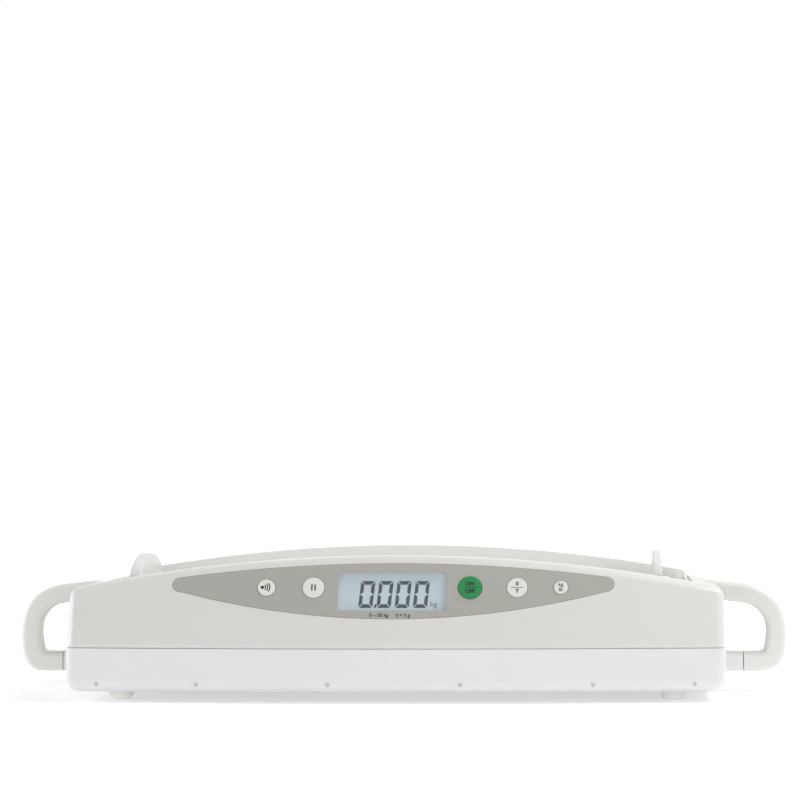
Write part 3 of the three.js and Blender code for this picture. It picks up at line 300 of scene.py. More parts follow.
def casing_outline(x, offset, bottom):
    inset = offset + drawn_in(x, 2 * (half_width - offset), end_radius - offset)
    front, rear, top = front_at(x) + inset, rear_at(x) - inset, rim_at(x) - inset
    edge = face_y(x, top) + inset / cos(lean)
    corners = [
        (front, bottom, seam_edge, 1),
        (front, lean_start - inset * tan(lean / 2), bend_radius, 8),
        (edge, top, max(rim_radius - inset, finest_radius), 10),
        (rear, top - shoulder_drop, max(rear_radius - inset, finest_radius), 6),
        (rear, bottom, seam_edge, 8),
    ]
    return [(x, y, z) for y, z in filleted(corners, round_steps)]


def casing_block(offset, bottom):
    length, radius = 2 * (half_width - offset), end_radius - offset
    return skin([casing_outline(x, offset, bottom) for x in places_along(length, radius)])


upper_casing = casing_block(0, seam_height)
combine(upper_casing, casing_block(casing_wall, seam_height - overcut))

# Opening for the tray: a long hole with round corners, its edge rolled over into the top, with a small
# ledge under the edge that keeps dust and light out of the casing
tray_length, tray_corner, tray_gap = 0.494, 0.024, 0.0006
tray_front_setback, tray_rear_setback = 0.054, 0.016
opening_edge, ledge_reach, ledge_drop = 0.0008, 0.0004, 0.0014


def opening_ring(grow, height_under_top):
    """The opening's outline in plan, grown all round, at a height under the casing's top"""
    spread = tray_gap + grow
    length, radius = tray_length + 2 * spread, tray_corner + spread
    places = places_along(length, radius, steps=40, end_steps=7)
    front = [(x, front_at(x) + tray_front_setback - spread + drawn_in(x, length, radius)) for x in places]
    rear = [(x, rear_y - tray_rear_setback + spread - drawn_in(x, length, radius)) for x in places]
    ring = []
    for x, y in front + rear[::-1]:
        start, end = face_y(x, rim_at(x)), rear_at(x)
        top = rim_at(x) - shoulder_drop * (y - start) / (end - start)
        ring.append((x, y, top - height_under_top))
    return ring


def rounding(inwards, down, steps=5):
    """How far a rounded edge lies in and down from its corner, from below to the top"""
    turns = [i / steps * pi / 2 for i in range(steps + 1)]
    return [(inwards * (1 - cos(turn)), down * (1 - sin(turn))) for turn in turns]


tray_room = skin([
    [(x, y, seam_height - 2 * overcut) for x, y, _ in opening_ring(-ledge_reach, 0)],
    opening_ring(-ledge_reach, ledge_drop), opening_ring(0, ledge_drop),
    *[opening_ring(grow, down) for grow, down in rounding(opening_edge, opening_edge, 4)],
    [(x, y, rim_height + 2 * overcut) for x, y, _ in opening_ring(opening_edge, 0)],
])
combine(upper_casing, tray_room)

# Recess for the control panel in the leaning face, and the holes for the window and the five keys
face_height = 0.0942
panel_length, panel_tip, panel_below_rim = 0.366, 0.0075, 0.0066
panel_bottom, panel_bottom_rise = rim_height - 0.0512, 0.0215
panel_thickness, panel_proud, panel_gap = 0.0012, 0.0003, 0.0003
panel_stations, tip_trim = 72, 1e-5
window_x, window_height = -0.0019, face_height - 0.0029
window_size, window_corner = (0.0898, 0.0338), 0.0025
key_pitch, key_radius, key_gap = 0.0387, 0.0098, 0.0004
key_table = {
    "sound": (-1, 1.535, 0.74), "hold": (-1, 0.525, 0.918), "power": (1, 0.499, 1),
    "tare": (1, 1.504, 0.867), "unit": (1, 2.434, 0.597),
}
key_places = {
    name: (window_x + side * (window_size[0] / 2 + key_pitch * pitches), key_radius * share)
    for name, (side, pitches, share) in key_table.items()}
face_origin = Vector((0, face_y(0, face_height), face_height))
face_matrix = Matrix.Translation(face_origin) @ Matrix.Rotation(pi / 2 - lean, 4, "X")


def up_slope(x, height):
    """Distance up the leaning face from its origin, at a height on the bowed surface"""
    return (height - face_height) / cos(lean) + front_bow * share_out(x) * sin(lean)


def out_at(x):
    """How far the bowed surface lies behind the flat plane through its middle"""
    return -front_bow * share_out(x) * cos(lean)


def on_face(x, height, out):
    """A point over the leaning face, out from its surface"""
    return (x, face_y(x, height) - out * cos(lean), height + out * sin(lean))


def panel_edges(out, grow):
    """Heights of the panel's lower and upper edge, at a distance along from its own middle"""
    tip_x = panel_length / 2 - panel_tip
    along = min(max(out, -tip_x), tip_x)
    upper = rim_at(window_x + along) - panel_below_rim + grow
    lower = panel_bottom + panel_bottom_rise * (along / tip_x) ** 2 - grow
    past = min((abs(out) - abs(along)) / (panel_tip + grow), 1)
    narrow = sqrt(1 - past ** 2)
    middle, reach = (upper + lower) / 2, (upper - lower) / 2
    return middle - reach * narrow, middle + reach * narrow


def lens_slab(grow, inner, outer, edge):
    """A slab of the panel's lens shape that follows the bowed face, its outer edge rounded"""
    rows = []
    for x in places_along(panel_length + 2 * (grow - tip_trim), panel_tip + grow, panel_stations, 12):
        lower, upper = panel_edges(x, grow)
        edge_here = min(edge, (upper - lower) / 4)
        section = filleted([
            (lower, inner, 0, 4), (upper, inner, 0, 1),
            (upper, outer, edge_here, 10), (lower, outer, edge_here, 1)], 3)
        rows.append([on_face(window_x + x, height, out) for height, out in section])
    return skin(rows)


def rectangle(width, height):
    """A rectangle's corners, round its middle"""
    return [(x * width / 2, y * height / 2) for x, y in ((-1, -1), (1, -1), (1, 1), (-1, 1))]


def rounded_rectangle(width, height, radius):
    return filleted([(x, y, radius, 3) for x, y in rectangle(width, height)])


def face_prism(outline, inner, outer, centre):
    """An upright block of an outline in the face's own frame"""
    return skin([
        [face_matrix @ Vector((centre[0] + x, centre[1] + y, out)) for x, y in outline]
        for out in (inner, outer)])


def circle(radius, sides=64):
    turns = (2 * pi * i / sides for i in range(sides))
    return [(radius * cos(turn), radius * sin(turn)) for turn in turns]


def key_centre(x):
    return (x, up_slope(x, face_height))


window_centre, hole_depth = (window_x, up_slope(window_x, window_height)), 0.012


def cut_face_holes(piece):
    """Cuts the window and the five key holes through a piece on the face"""
    outline = rounded_rectangle(*window_size, window_corner)
    combine(piece, face_prism(outline, -hole_depth, hole_depth, window_centre))
    for x, radius in key_places.values():
        inner, outer = out_at(x) - hole_depth, out_at(x) + hole_depth
        combine(piece, face_prism(circle(radius + key_gap), inner, outer, key_centre(x)))


combine(upper_casing, lens_slab(panel_gap, -panel_thickness, hole_depth, 0))
cut_face_holes(upper_casing)

# Handles. Two D-shaped loops moulded in the same ABS: each upper arm runs into the casing's end, and the
# lower arm butts against a stub of the lower casing, with a fine joint line between them.
handle_reach, handle_bottom, handle_above_end = 0.0566, 0.0169, 0.0019
handle_height = rim_at(half_width) + handle_above_end - handle_bottom
handle_width, handle_corner, handle_y = 0.03, 0.005, 0.009
stub_length, joint_gap, stub_gap = 0.02, 0.0003, 0.0006
loop_shares = [
    ((-0.36, 0.962), (-0.36, 0.79)), ((-0.16, 0.993), (-0.16, 0.782)), ((0.19, 0.969), (0.07, 0.772)),
    ((0.459, 0.944), (0.336, 0.749)), ((0.636, 0.896), (0.486, 0.716)), ((0.786, 0.823), (0.592, 0.658)),
    ((0.901, 0.721), (0.664, 0.584)), ((0.972, 0.588), (0.7, 0.501)), ((1, 0.43), (0.707, 0.398)),
    ((0.988, 0.257), (0.687, 0.289)), ((0.94, 0.129), (0.67, 0.236)), ((0.848, 0.044), (0.629, 0.215)),
    ((0.716, 0.004), (0.565, 0.21)),
]
lower_arm_shares = (0, 0.21)
# The handles' white is lighter than the upper casing's, though the ABS is the same: painted light on the
# handles.
handle_white_painted_light = moulded("handle_white_painted_light", (230, 229, 224), 0.42)


def arm_point(x, share):
    return Vector((x, handle_bottom + share * handle_height))


def loop_point(shares):
    return arm_point(half_width + shares[0] * handle_reach, shares[1])


def through(points, steps=5):
    """A smooth line through points, each span cut into steps"""
    line = []
    for i in range(len(points) - 1):
        before, start, end, after = (points[min(max(k, 0), len(points) - 1)] for k in range(i - 1, i + 3))
        for k in range(steps):
            t = k / steps
            squared, cubed = 2 * before - 5 * start + 4 * end - after, 3 * start - before - 3 * end + after
            line.append(0.5 * (2 * start + (end - before) * t + squared * t * t + cubed * t ** 3))
    return [*line, points[-1]]


def bar(outer_line, inner_line, side, grow=0.0):
    """A bar with rounded edges between an outer and an inner line in the plane of the handles"""
    rows = []
    for outer, inner in zip(outer_line, inner_line):
        middle, across = (outer + inner) / 2, outer - inner
        thick = across.length + 2 * grow
        across.normalize()
        section = rounded_rectangle(thick, handle_width + 2 * grow, handle_corner + grow)
        rows.append([
            (side * (middle.x + across.x * t), handle_y + w, middle.y + across.y * t) for t, w in section])
    return skin(rows)


def handle_loop(side, grow=0.0):
    end = half_width + stub_length + stub_gap
    outer, inner = (
        through([*map(loop_point, shares), arm_point(end, arm)])
        for shares, arm in zip(zip(*loop_shares), lower_arm_shares))
    return bar(outer, inner, side, grow)


for side, place in ((-1, "left"), (1, "right")):
    combine(upper_casing, handle_loop(side, joint_gap))
    finish_piece(
        handle_loop(side), "carry_handle_" + place, handle_white_painted_light, "root", "shell", "handle_" + place)
finish_piece(upper_casing, "upper_casing", shell_white_painted_shade, "root", "shell", "upper_shell")

# Lower casing. A tub in the same ABS with rounded bottom edges and a stub at each end for the handles.
# Six small moulded dimples run along its front, and the battery door slides in a recess in its floor.
lower_low, lower_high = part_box("lower_shell")
underside = lower_low.z
lower_overhang, lower_corner, lower_end_radius = 0.001, 0.011, 0.011
lower_top, stub_root = lower_high.z, 0.002


def lower_outline(x, offset, top):
    length = 2 * (half_width + lower_overhang - offset)
    inset = offset + drawn_in(x, length, end_radius - offset)
    front, rear = front_at(x) - lower_overhang + inset, rear_at(x) + lower_overhang - inset
    bottom = underside + offset + drawn_in(x, length, lower_end_radius - offset)
    radius = max(lower_corner - inset, finest_radius)
    corners = [
        (front, top, seam_edge, 6), (rear, top, seam_edge, 2),
        (rear, bottom, radius, 8), (front, bottom, radius, 2)]
    return [(x, y, z) for y, z in filleted(corners, round_steps)]


def lower_block(offset, top):
    length = 2 * (half_width + lower_overhang - offset)
    places = places_along(length, lower_end_radius - offset, end_steps=16)
    return skin([lower_outline(x, offset, top) for x in places])


def as_made():
    """The primitive just added, with its place and size applied"""
    bpy.ops.object.transform_apply()
    return bpy.context.object


def rod(radius, length, centre, sides, turn=(0, 0, 0)):
    bpy.ops.mesh.primitive_cylinder_add(
        vertices=sides, radius=radius, depth=length, location=centre, rotation=turn)
    return as_made()


def post(radius, x, y, bottom, top, sides=40):
    return rod(radius, top - bottom, (x, y, (top + bottom) / 2), sides)


def block(low, high):
    bpy.ops.mesh.primitive_cube_add(size=1, location=(Vector(low) + Vector(high)) / 2)
    bpy.context.object.scale = Vector(high) - Vector(low)
    return as_made()


lower_casing = lower_block(0, lower_top)
combine(lower_casing, lower_block(casing_wall, lower_top + overcut))
for side in (-1, 1):
    ends = (half_width - stub_root, half_width + stub_length)
    outer, inner = ([arm_point(x, share) for x in ends] for share in lower_arm_shares)
    combine(lower_casing, bar(outer, inner, side), "UNION")

foot_from_end, foot_from_edge = 0.042, 0.053
screw_from_end, screw_from_front, screw_from_rear = 0.016, 0.075, 0.05
foot_places = [
    (side * (half_width - foot_from_end), end * (rear_y - foot_from_edge))
    for side in (-1, 1) for end in (-1, 1)]
screw_places = [
    (side * (half_width - screw_from_end), y)
    for side in (-1, 1) for y in (front_y + screw_from_front, rear_y - screw_from_rear)]
floor_top = underside + casing_wall
foot_boss, foot_boss_height, screw_boss, screw_boss_gap = 0.006, 0.012, 0.0062, 0.0005
screw_hole, screw_recess, recess_top = 0.002, 0.0042, 0.03
for x, y in foot_places:
    combine(lower_casing, post(foot_boss, x, y, floor_top - overlap, floor_top + foot_boss_height), "UNION")
    combine(lower_casing, post(screw_hole, x, y, 0, floor_top + overcut))
for x, y in screw_places:
    combine(lower_casing, post(screw_boss, x, y, floor_top - overlap, lower_top - screw_boss_gap), "UNION")
    combine(lower_casing, post(screw_recess, x, y, 0, recess_top))
    combine(lower_casing, post(screw_hole, x, y, 0, lower_top + overcut))

# Small dimples along the front, each a short round hole straight into the rounded edge
dimple_radius, dimple_reach, dimple_height = 0.0018, 0.0031, 0.0071
dimple_shares = (0.2011, 0.6011, 0.9081)
for share in dimple_shares:
    for side in (-1, 1):
        x = side * share * half_width
        centre = (x, front_at(x) - lower_overhang, underside + dimple_height)
        combine(lower_casing, rod(dimple_radius, 2 * dimple_reach, centre, 36, (pi / 2, 0, 0)))

# Recess under the floor for the sliding battery door, with a groove along each side for the door's lips
door_low, door_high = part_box("battery_door")
box_low, box_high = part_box("battery_box")
door_gap, door_travel, door_lip, box_wall = 0.0003, 0.022, 0.0025, 0.0016
door_lip_height, groove_top = underside + 0.00135, underside + 0.0027
pocket_margin, pocket_bottom, pocket_top = 0.009, underside + 0.0005, underside + 0.005
cover_left, cover_right, slot_rear = door_low.x + door_lip, door_high.x - door_lip, door_high.y + door_travel
pocket = block(
    (cover_left - pocket_margin, door_low.y - pocket_margin, pocket_bottom),
    (cover_right + pocket_margin, slot_rear + pocket_margin, pocket_top))
door_slot = block(
    (cover_left - door_gap, door_low.y - door_gap, 0),
    (cover_right + door_gap, slot_rear + door_gap, door_lip_height + door_gap))
lip_groove = block(
    (door_low.x - door_gap, door_low.y - door_gap, door_lip_height - door_gap),
    (door_high.x + door_gap, slot_rear + door_gap, groove_top))
battery_hole = block(
    (box_low.x + box_wall, box_low.y + box_wall, 0),
    (box_high.x - box_wall, box_high.y - box_wall, recess_top))
combine(lower_casing, pocket, "UNION")
for tool in (door_slot, lip_groove, battery_hole):
    combine(lower_casing, tool)
# The lower casing's white is lighter than the upper casing's, though the ABS is the same: painted light from
# the table below.
lower_white_painted_light = moulded("lower_white_painted_light", (231, 230, 228), 0.4)
finish_piece(lower_casing, "lower_casing", lower_white_painted_light, "root", "shell", "lower_shell")

# Tray. The cradle that the child lies in: one thin moulding with an arched rim and a hanging skirt, a long
# hollow that rises towards the front, and a flat ledge at the back for the length measure.
# It stands on four rubber buffers and touches the casing nowhere.
tray_half, tray_wall, tray_skirt, tray_tuck = tray_length / 2, 0.003, 0.014, 0.002
rim_edge, front_rim, rear_rim, rear_wall_lean = 0.0014, 0.004, 0.009, 0.003
cradle_depth, floor_from_front, ledge_rise, ledge_width = 0.0159, 0.18, 0.006, 0.024
end_slope, end_lip, end_drop, tray_end_round, ledge_round = 0.0045, 0.0025, 0.0025, 0.005, 0.003
front_steps, rear_steps = 24, 10
floor_y = front_y + floor_from_front
floor_height = rim_at(tray_half) - cradle_depth
ledge_height = floor_height + ledge_rise
ledge_back = rear_y - tray_rear_setback - rear_rim - rear_wall_lean
# The tray's white is lighter than the casing's, though the plastic is the same: painted light in its hollow,
# which lies in shade.
tray_white_painted_light = moulded("tray_white_painted_light", (240, 240, 237), 0.45)


def tray_front(x):
    return front_at(x) + tray_front_setback + drawn_in(x, tray_length, tray_corner)


def tray_rear(x):
    return rear_y - tray_rear_setback - drawn_in(x, tray_length, tray_corner)


def tray_rear_z(x):
    return rim_at(x) - drawn_in(x, tray_length, tray_end_round)


def end_share(x):
    """How far the hollow has risen to its end lip at x"""
    share = min(max((abs(x) - (tray_half - end_lip - end_slope)) / end_slope, 0), 1)
    return share * share * (3 - 2 * share)


def hollow(x):
    """The cradle's upper surface at x, from the inside of the front rim to the back of the ledge"""
    inner, wall_top = tray_front(x) + front_rim, tray_rear(x) - rear_rim
    back = min(ledge_back, wall_top - rear_wall_lean)
    rear_z, lift = tray_rear_z(x), end_share(x)
    front_z = rear_z - tray_tuck
    surface = []
    for i in range(front_steps + 1):
        share = i / front_steps
        z = floor_height + (front_z - floor_height) * (1 - sin(pi / 2 * share))
        lip_z = front_z - end_drop * sin(pi / 2 * share)
        surface.append((inner + (floor_y - inner) * share, z + (lip_z - z) * lift))
    lip_z = rear_z - end_drop
    for i in range(1, rear_steps + 1):
        share = i / rear_steps
        z = floor_height + ledge_rise * (1 - cos(pi / 2 * share))
        surface.append((floor_y + (back - ledge_width - floor_y) * share, z + (lip_z - z) * lift))
    surface.append((back, ledge_height + (lip_z - ledge_height) * lift))
    return surface, (wall_top, rear_z)


def cradle_z(x, y):
    """Height of the cradle's surface at a place"""
    surface, _ = hollow(x)
    for (y0, z0), (y1, z1) in zip(surface, surface[1:]):
        if y <= y1:
            return z0 + (z1 - z0) * (y - y0) / (y1 - y0)
    return surface[-1][1]


def tray_outline(x):
    front, rear, rear_z = tray_front(x), tray_rear(x), tray_rear_z(x)
    front_z = rear_z - tray_tuck
    surface, wall_top = hollow(x)
    solid_end = abs(x) > tray_half - tray_wall
    skirt_front, skirt_rear = front_z - tray_skirt, rear_z - tray_skirt
    shelf_front, shelf_rear = (
        (skirt_front, skirt_rear) if solid_end else (front_z - tray_wall, rear_z - tray_wall))
    under = [(y, skirt_front if solid_end else z - tray_wall) for y, z in surface]
    under[-1] = (under[-1][0] + tray_wall, under[-1][1])
    corners = [
        (front, skirt_front), (front, front_z, rim_edge), (front + front_rim, front_z, rim_edge),
        *surface[1:-1], (*surface[-1], ledge_round, 2), (*wall_top, rim_edge),
        (rear, rear_z, rim_edge), (rear, skirt_rear), (rear - tray_wall, skirt_rear),
        (rear - tray_wall, shelf_rear), (wall_top[0] + tray_wall, shelf_rear),
        *under[::-1], (front + tray_wall, shelf_front), (front + tray_wall, skirt_front),
    ]
    return [(x, y, z) for y, z in filleted(corners, 4)]


tray = skin([tray_outline(x) for x in places_along(tray_length, tray_corner, steps=48, end_steps=12)])
buffer_from_end, buffer_y, tray_boss, tray_boss_drop = 0.097, 0.052, 0.009, 0.008
buffer_x = tray_half - buffer_from_end
boss_bottom = floor_height - tray_wall - tray_boss_drop
for x in (-buffer_x, buffer_x):
    for y in (-buffer_y, buffer_y):
        boss = post(tray_boss, x, y, boss_bottom, ledge_height)
        for vertex in boss.data.vertices:
            if vertex.co.z > boss_bottom + tray_boss_drop / 2:
                vertex.co.z = cradle_z(vertex.co.x, vertex.co.y) - tray_wall / 2
        combine(tray, boss, "UNION")
finish_piece(tray, "cradle_tray", tray_white_painted_light, "weighing_tray", "tray", "tray")

# Control panel. A thin printed overlay of matt grey film, lens-shaped, that lies in the casing's recess
# and follows its bow, with a window for the display and a hole for each key.
panel_grey = moulded("panel_grey", (172, 172, 164), 0.5, grain=0.00035, depth=0.000006, mottle=0.008)
panel_edge = 0.00025
panel = lens_slab(0, panel_gap - panel_thickness, panel_proud, panel_edge)
cut_face_holes(panel)
finish_piece(panel, "panel_overlay", panel_grey, "root", "panel", "control_panel")

# Marks on the face. Black ink screen-printed on the film: plain numbers of the scale's range under the
# window. The keys' symbols further down are of the same ink, under a clear coat.
ink_black = moulded("ink_black", (22, 23, 22), 0.6, grain=0.0004, depth=0.000001, mottle=0.02)
ink_thickness = 0.00003


def letters(words, size, depth, weight, place):
    """Letters as a thin mesh, centred on the origin and then carried to their place by a matrix"""
    bpy.ops.object.text_add()
    line = bpy.context.object.data
    line.body, line.size, line.extrude, line.offset = words, size, depth, weight
    line.align_x = line.align_y = "CENTER"
    bpy.ops.object.convert(target="MESH")
    bpy.context.object.data.transform(place)
    return bpy.context.object


def lettering(words, size, centre, out, weight=0.0002):
    """Letters on the face, centred on a place given across and up the slope"""
    return letters(words, size, ink_thickness, weight, face_matrix @ Matrix.Translation((*centre, out)))


def flat_shape(outline, centre, out):
    return face_prism(outline, out - ink_thickness, out + ink_thickness, centre)


def join(pieces):
    """Joins pieces into one object"""
    select_only(*pieces)
    bpy.ops.object.join()
    return pieces[0]


range_size, range_place, range_weight = 0.0042, (window_x - 0.0018, window_centre[1] - 0.0213), 0.0001
capacity = lettering("0 – 20 kg     d = 5 g", range_size, range_place, panel_proud, range_weight)
finish_piece(capacity, "capacity_mark", ink_black, "root", "panel")

# Display. A clear acrylic window over a reflective liquid crystal glass, whose dark segments show four
# leaning digits with a point after the first, and the unit in small letters beside them.
lens_recess, lens_back, glass_margin, glass_thickness = 0.0007, 0.0036, 0.004, 0.0028
clear_acrylic, tree, shader = new_finish("clear_acrylic")
feed(tree, shader, {
    "Base Color": tone(196, 210, 218), "Roughness": 0.04, "IOR": 1.49, "Alpha": 0.07})


def display_sheet(grow, inner, outer):
    outline = rounded_rectangle(window_size[0] + 2 * grow, window_size[1] + 2 * grow, window_corner)
    return face_prism(outline, inner, outer, window_centre)


lens = display_sheet(-panel_gap, -lens_back, -lens_recess)
finish_piece(lens, "lcd_window", clear_acrylic, "root", "lens", "lcd_lens")

glass_front = -lens_back - panel_gap
lcd_ground = moulded("lcd_ground", (208, 221, 225), 0.3, grain=0.00025, depth=0.000002, mottle=0.015)
glass = display_sheet(glass_margin, glass_front - glass_thickness, glass_front)
finish_piece(glass, "lcd_glass_sheet", lcd_ground, "root", "lcd", "lcd_glass")

segment_dark = moulded("segment_dark", (24, 36, 42), 0.35, grain=0.0004, depth=0.000001, mottle=0.03)
digit_height, digit_width, digit_pitch, digit_slant = 0.024, 0.0118, 0.01505, tan(radians(5.4))
stroke_up, stroke_across, segment_gap = 0.0029, 0.0033, 0.0007
first_digit = (-0.0282, -0.01305)
point_from_digit, point_width, point_height = 0.0013, 0.0017, 0.0032
unit_size, unit_place = 0.0066, (window_x + 0.0342, window_centre[1] - 0.0098)


def segment_outlines():
    """The six segments of a nought, as outlines from the digit's lower left corner"""
    d, w, h, middle = segment_gap / 2, digit_width, digit_height, digit_height / 2
    under = h - stroke_across
    top = [(2 * d, h), (w - 2 * d, h), (w - stroke_up - d, under), (stroke_up + d, under)]
    side = [(0, h - 2 * d), (0, middle + d), (stroke_up * 0.4, middle + d),
            (stroke_up, middle + d + stroke_across * 0.5), (stroke_up, under - d)]
    upper = [top, side, [(w - x, y) for x, y in reversed(side)]]
    return upper + [[(x, h - y) for x, y in reversed(outline)] for outline in upper]


def leaning(outline, left):
    """A mark on the glass, leaned over to the right"""
    leaned = [(left + x + y * digit_slant, first_digit[1] + y) for x, y in outline]
    return flat_shape(leaned, window_centre, glass_front)


segments = [
    leaning(outline, first_digit[0] + digit * digit_pitch)
    for digit in range(4) for outline in segment_outlines()]
point = [(0, 0), (point_width, 0), (point_width, point_height), (0, point_height)]
segments += [
    leaning(point, first_digit[0] + digit_width + point_from_digit),
    lettering("kg", unit_size, unit_place, glass_front, 0)]
finish_piece(join(segments), "lcd_segments", segment_dark, "root", "lcd")

# Keys. Five round caps that stand a little proud of the film, each with a flange behind the casing and a
# stem that presses a small switch on the display board; the power key is green, the others off-white.
key_proud, key_edge, key_flange, key_flange_thickness = 0.0011, 0.0005, 0.0018, 0.0012
key_stem, key_travel = 0.0022, 0.0006
board_out, switch_height, plunger_height = -0.016, 0.0035, 0.0008
key_white = moulded("key_white", (230, 229, 223), 0.38, grain=0.0004, depth=0.000004)
key_green = moulded("key_green", (26, 138, 70), 0.36, grain=0.0004, depth=0.000004, mottle=0.03)


def turned(profile, centre, sides, place):
    """A turned piece, from (radius, height) points along its side, carried to its place by a matrix"""
    return skin([
        [place @ Vector((centre[0] + x, centre[1] + y, height)) for x, y in circle(radius, sides)]
        for radius, height in profile])


def arc_band(radius, thick, half_angle, steps=10):
    """A curved band, open to the right"""
    turns = [half_angle * (2 * i / steps - 1) for i in range(steps + 1)]
    outer = [(radius + thick / 2, turn) for turn in turns]
    inner = [(radius - thick / 2, turn) for turn in reversed(turns)]
    return [(out * cos(turn), out * sin(turn)) for out, turn in outer + inner]


# Words on a key with their heights, their size and weight, and the width and thickness of the line between
key_words = {
    "power": ((("ON", 0.0032), ("OFF", -0.0036)), 0.0047, 0.00026, (0.0112, 0.0006)),
    "tare": ((("0", 0.0031), ("T", -0.0034)), 0.0047, 0.0002, (0.0098, 0.0005)),
    "unit": ((("kg", 0.0023), ("lb", -0.0022)), 0.0046, 0.00008, None),
}
line_drop = 0.0001
pause_bar, pause_from_middle = (0.0012, 0.0056), 0.0013
sound_from_middle, dot_radius, wave_thickness = 0.0034, 0.0015, 0.0009
sound_waves = ((0.0027, 0.85), (0.0044, 0.72), (0.0061, 0.66))


def key_marks(name, x, top):
    """The printed symbol of each key"""
    _, up = key_centre(x)
    if name == "sound":
        start = (x - sound_from_middle, up)
        waves = [arc_band(radius, wave_thickness, angle) for radius, angle in sound_waves]
        return [flat_shape(outline, start, top) for outline in (circle(dot_radius, 24), *waves)]
    if name == "hold":
        return [
            flat_shape(rectangle(*pause_bar), (x + side * pause_from_middle, up), top) for side in (-1, 1)]
    words, size, weight, line = key_words[name]
    marks = [lettering(word, size, (x, up + height), top, weight) for word, height in words]
    return marks + ([flat_shape(rectangle(*line), (x, up - line_drop), top)] if line else [])


for name, (x, radius) in key_places.items():
    surface = out_at(x)
    slope = 2 * front_bow * abs(x) / half_width ** 2
    flange = radius + key_flange
    flange_front = surface - casing_wall - slope * flange - panel_gap
    flange_back = flange_front - key_flange_thickness
    stem_end = board_out + 2 * panel_gap + switch_height + plunger_height + key_travel
    top = surface + key_proud
    edge = [(radius - inwards, top - down) for inwards, down in rounding(key_edge, key_edge)]
    profile = [(key_stem, stem_end), (key_stem, flange_back), (flange, flange_back), (flange, flange_front),
               (radius, flange_front), *edge]
    cap = turned(profile, key_centre(x), 72, face_matrix)
    finish, slot = (key_green, "key_green") if name == "power" else (key_white, "key_white")
    finish_piece(cap, name + "_key_cap", finish, name + "_key", slot, "key_" + name)
    finish_piece(join(key_marks(name, x, top)), name + "_key_mark", ink_black, name + "_key", slot)

# Length measure. A moulded rail with a T head, held in the tray's ledge and printed with centimetres;
# one end plate is fixed at the head end, and the other slides along the rail by a carriage that clasps it.
rail_low, rail_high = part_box("measuring_rail")
rail_y = (rail_low.y + rail_high.y) / 2
rail_foot, rail_foot_height, runner_gap = 0.008, 0.002, 0.0004
rail_neck = rail_low.z + rail_foot_height
rail_head = rail_high.y - rail_low.y
rail_edge = 0.0004


def rail_section(grow, bottom, edge):
    half_foot, half_head = rail_foot / 2 + grow, rail_head / 2 + grow
    neck, top = rail_neck - grow, rail_high.z + grow
    return filleted([
        (rail_y - half_foot, bottom), (rail_y + half_foot, bottom), (rail_y + half_foot, neck),
        (rail_y + half_head, neck, edge), (rail_y + half_head, top, edge, 1), (rail_y - half_head, top, edge),
        (rail_y - half_head, neck, edge), (rail_y - half_foot, neck)], 3)


def rail_bar(grow, low_x, high_x, bottom, edge):
    return skin([[(x, y, z) for y, z in rail_section(grow, bottom, edge)] for x in (low_x, high_x)])


rail = rail_bar(0, rail_low.x, rail_high.x, rail_low.z, rail_edge)
# The rail takes the tray's lightened white, with its painted light.
finish_piece(rail, "length_rail", tray_white_painted_light, "weighing_tray", "tray", "measuring_rail")

head_low, head_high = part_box("head_stop")
foot_low, foot_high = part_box("foot_stop")
head_thickness, foot_thickness, carriage_length = 0.01, 0.0065, 0.014
head_face = (head_low.x + head_high.x) / 2 + head_thickness / 2
foot_face = (foot_low.x + foot_high.x) / 2 - foot_thickness / 2
tick_width, long_tick, short_tick, tick_step = 0.00035, 0.005, 0.0028, 0.01
number_size, number_from_front = 0.0048, 0.0032
marks = []
for count in range(1, int((rail_high.x - head_face) / tick_step)):
    x = head_face + count * tick_step
    length = long_tick if count % 5 == 0 else short_tick
    low = (x - tick_width / 2, rail_high.y - rail_edge - length, rail_high.z)
    marks.append(block(low, (x + tick_width / 2, rail_high.y - rail_edge, rail_high.z + ink_thickness)))
    if count % 5 == 0:
        place = Matrix.Translation((x, rail_low.y + number_from_front, rail_high.z + ink_thickness / 2))
        marks.append(letters(str(count), number_size, ink_thickness / 2, 0, place))
finish_piece(join(marks), "rail_marks", ink_black, "weighing_tray", "tray")

stop_white = moulded("stop_white", (214, 213, 210), 0.36)
stop_clearance, front_ease, rear_ease, dome_above_ledge = 0.002, 0.0088, 0.016, 0.002
stop_reach, carriage_wall, carriage_rise, carriage_round = 0.078, 0.002, 0.0022, 0.0009
carriage_half = rail_head / 2 + carriage_wall
plate_stations, room_share = 40, 0.4


def drawn_inwards(outline, distances):
    """An outline moved inwards along its normals, each point by its own distance"""
    moved = []
    for i, (here, distance) in enumerate(zip(outline, distances)):
        back = (here - outline[i - 1]).normalized()
        ahead = (outline[(i + 1) % len(outline)] - here).normalized()
        normal = Vector((-(back + ahead).y, (back + ahead).x)).normalized()
        stretch = max(normal.dot(Vector((-ahead.y, ahead.x))), 0.5)
        moved.append(here + normal * distance / stretch)
    return moved


def bevelled(piece, width, segments):
    """Rounds all edges of a block"""
    edges = piece.modifiers.new("edges", "BEVEL")
    edges.width, edges.segments = width, segments
    select_only(piece)
    bpy.ops.object.modifier_apply(modifier="edges")
    return piece


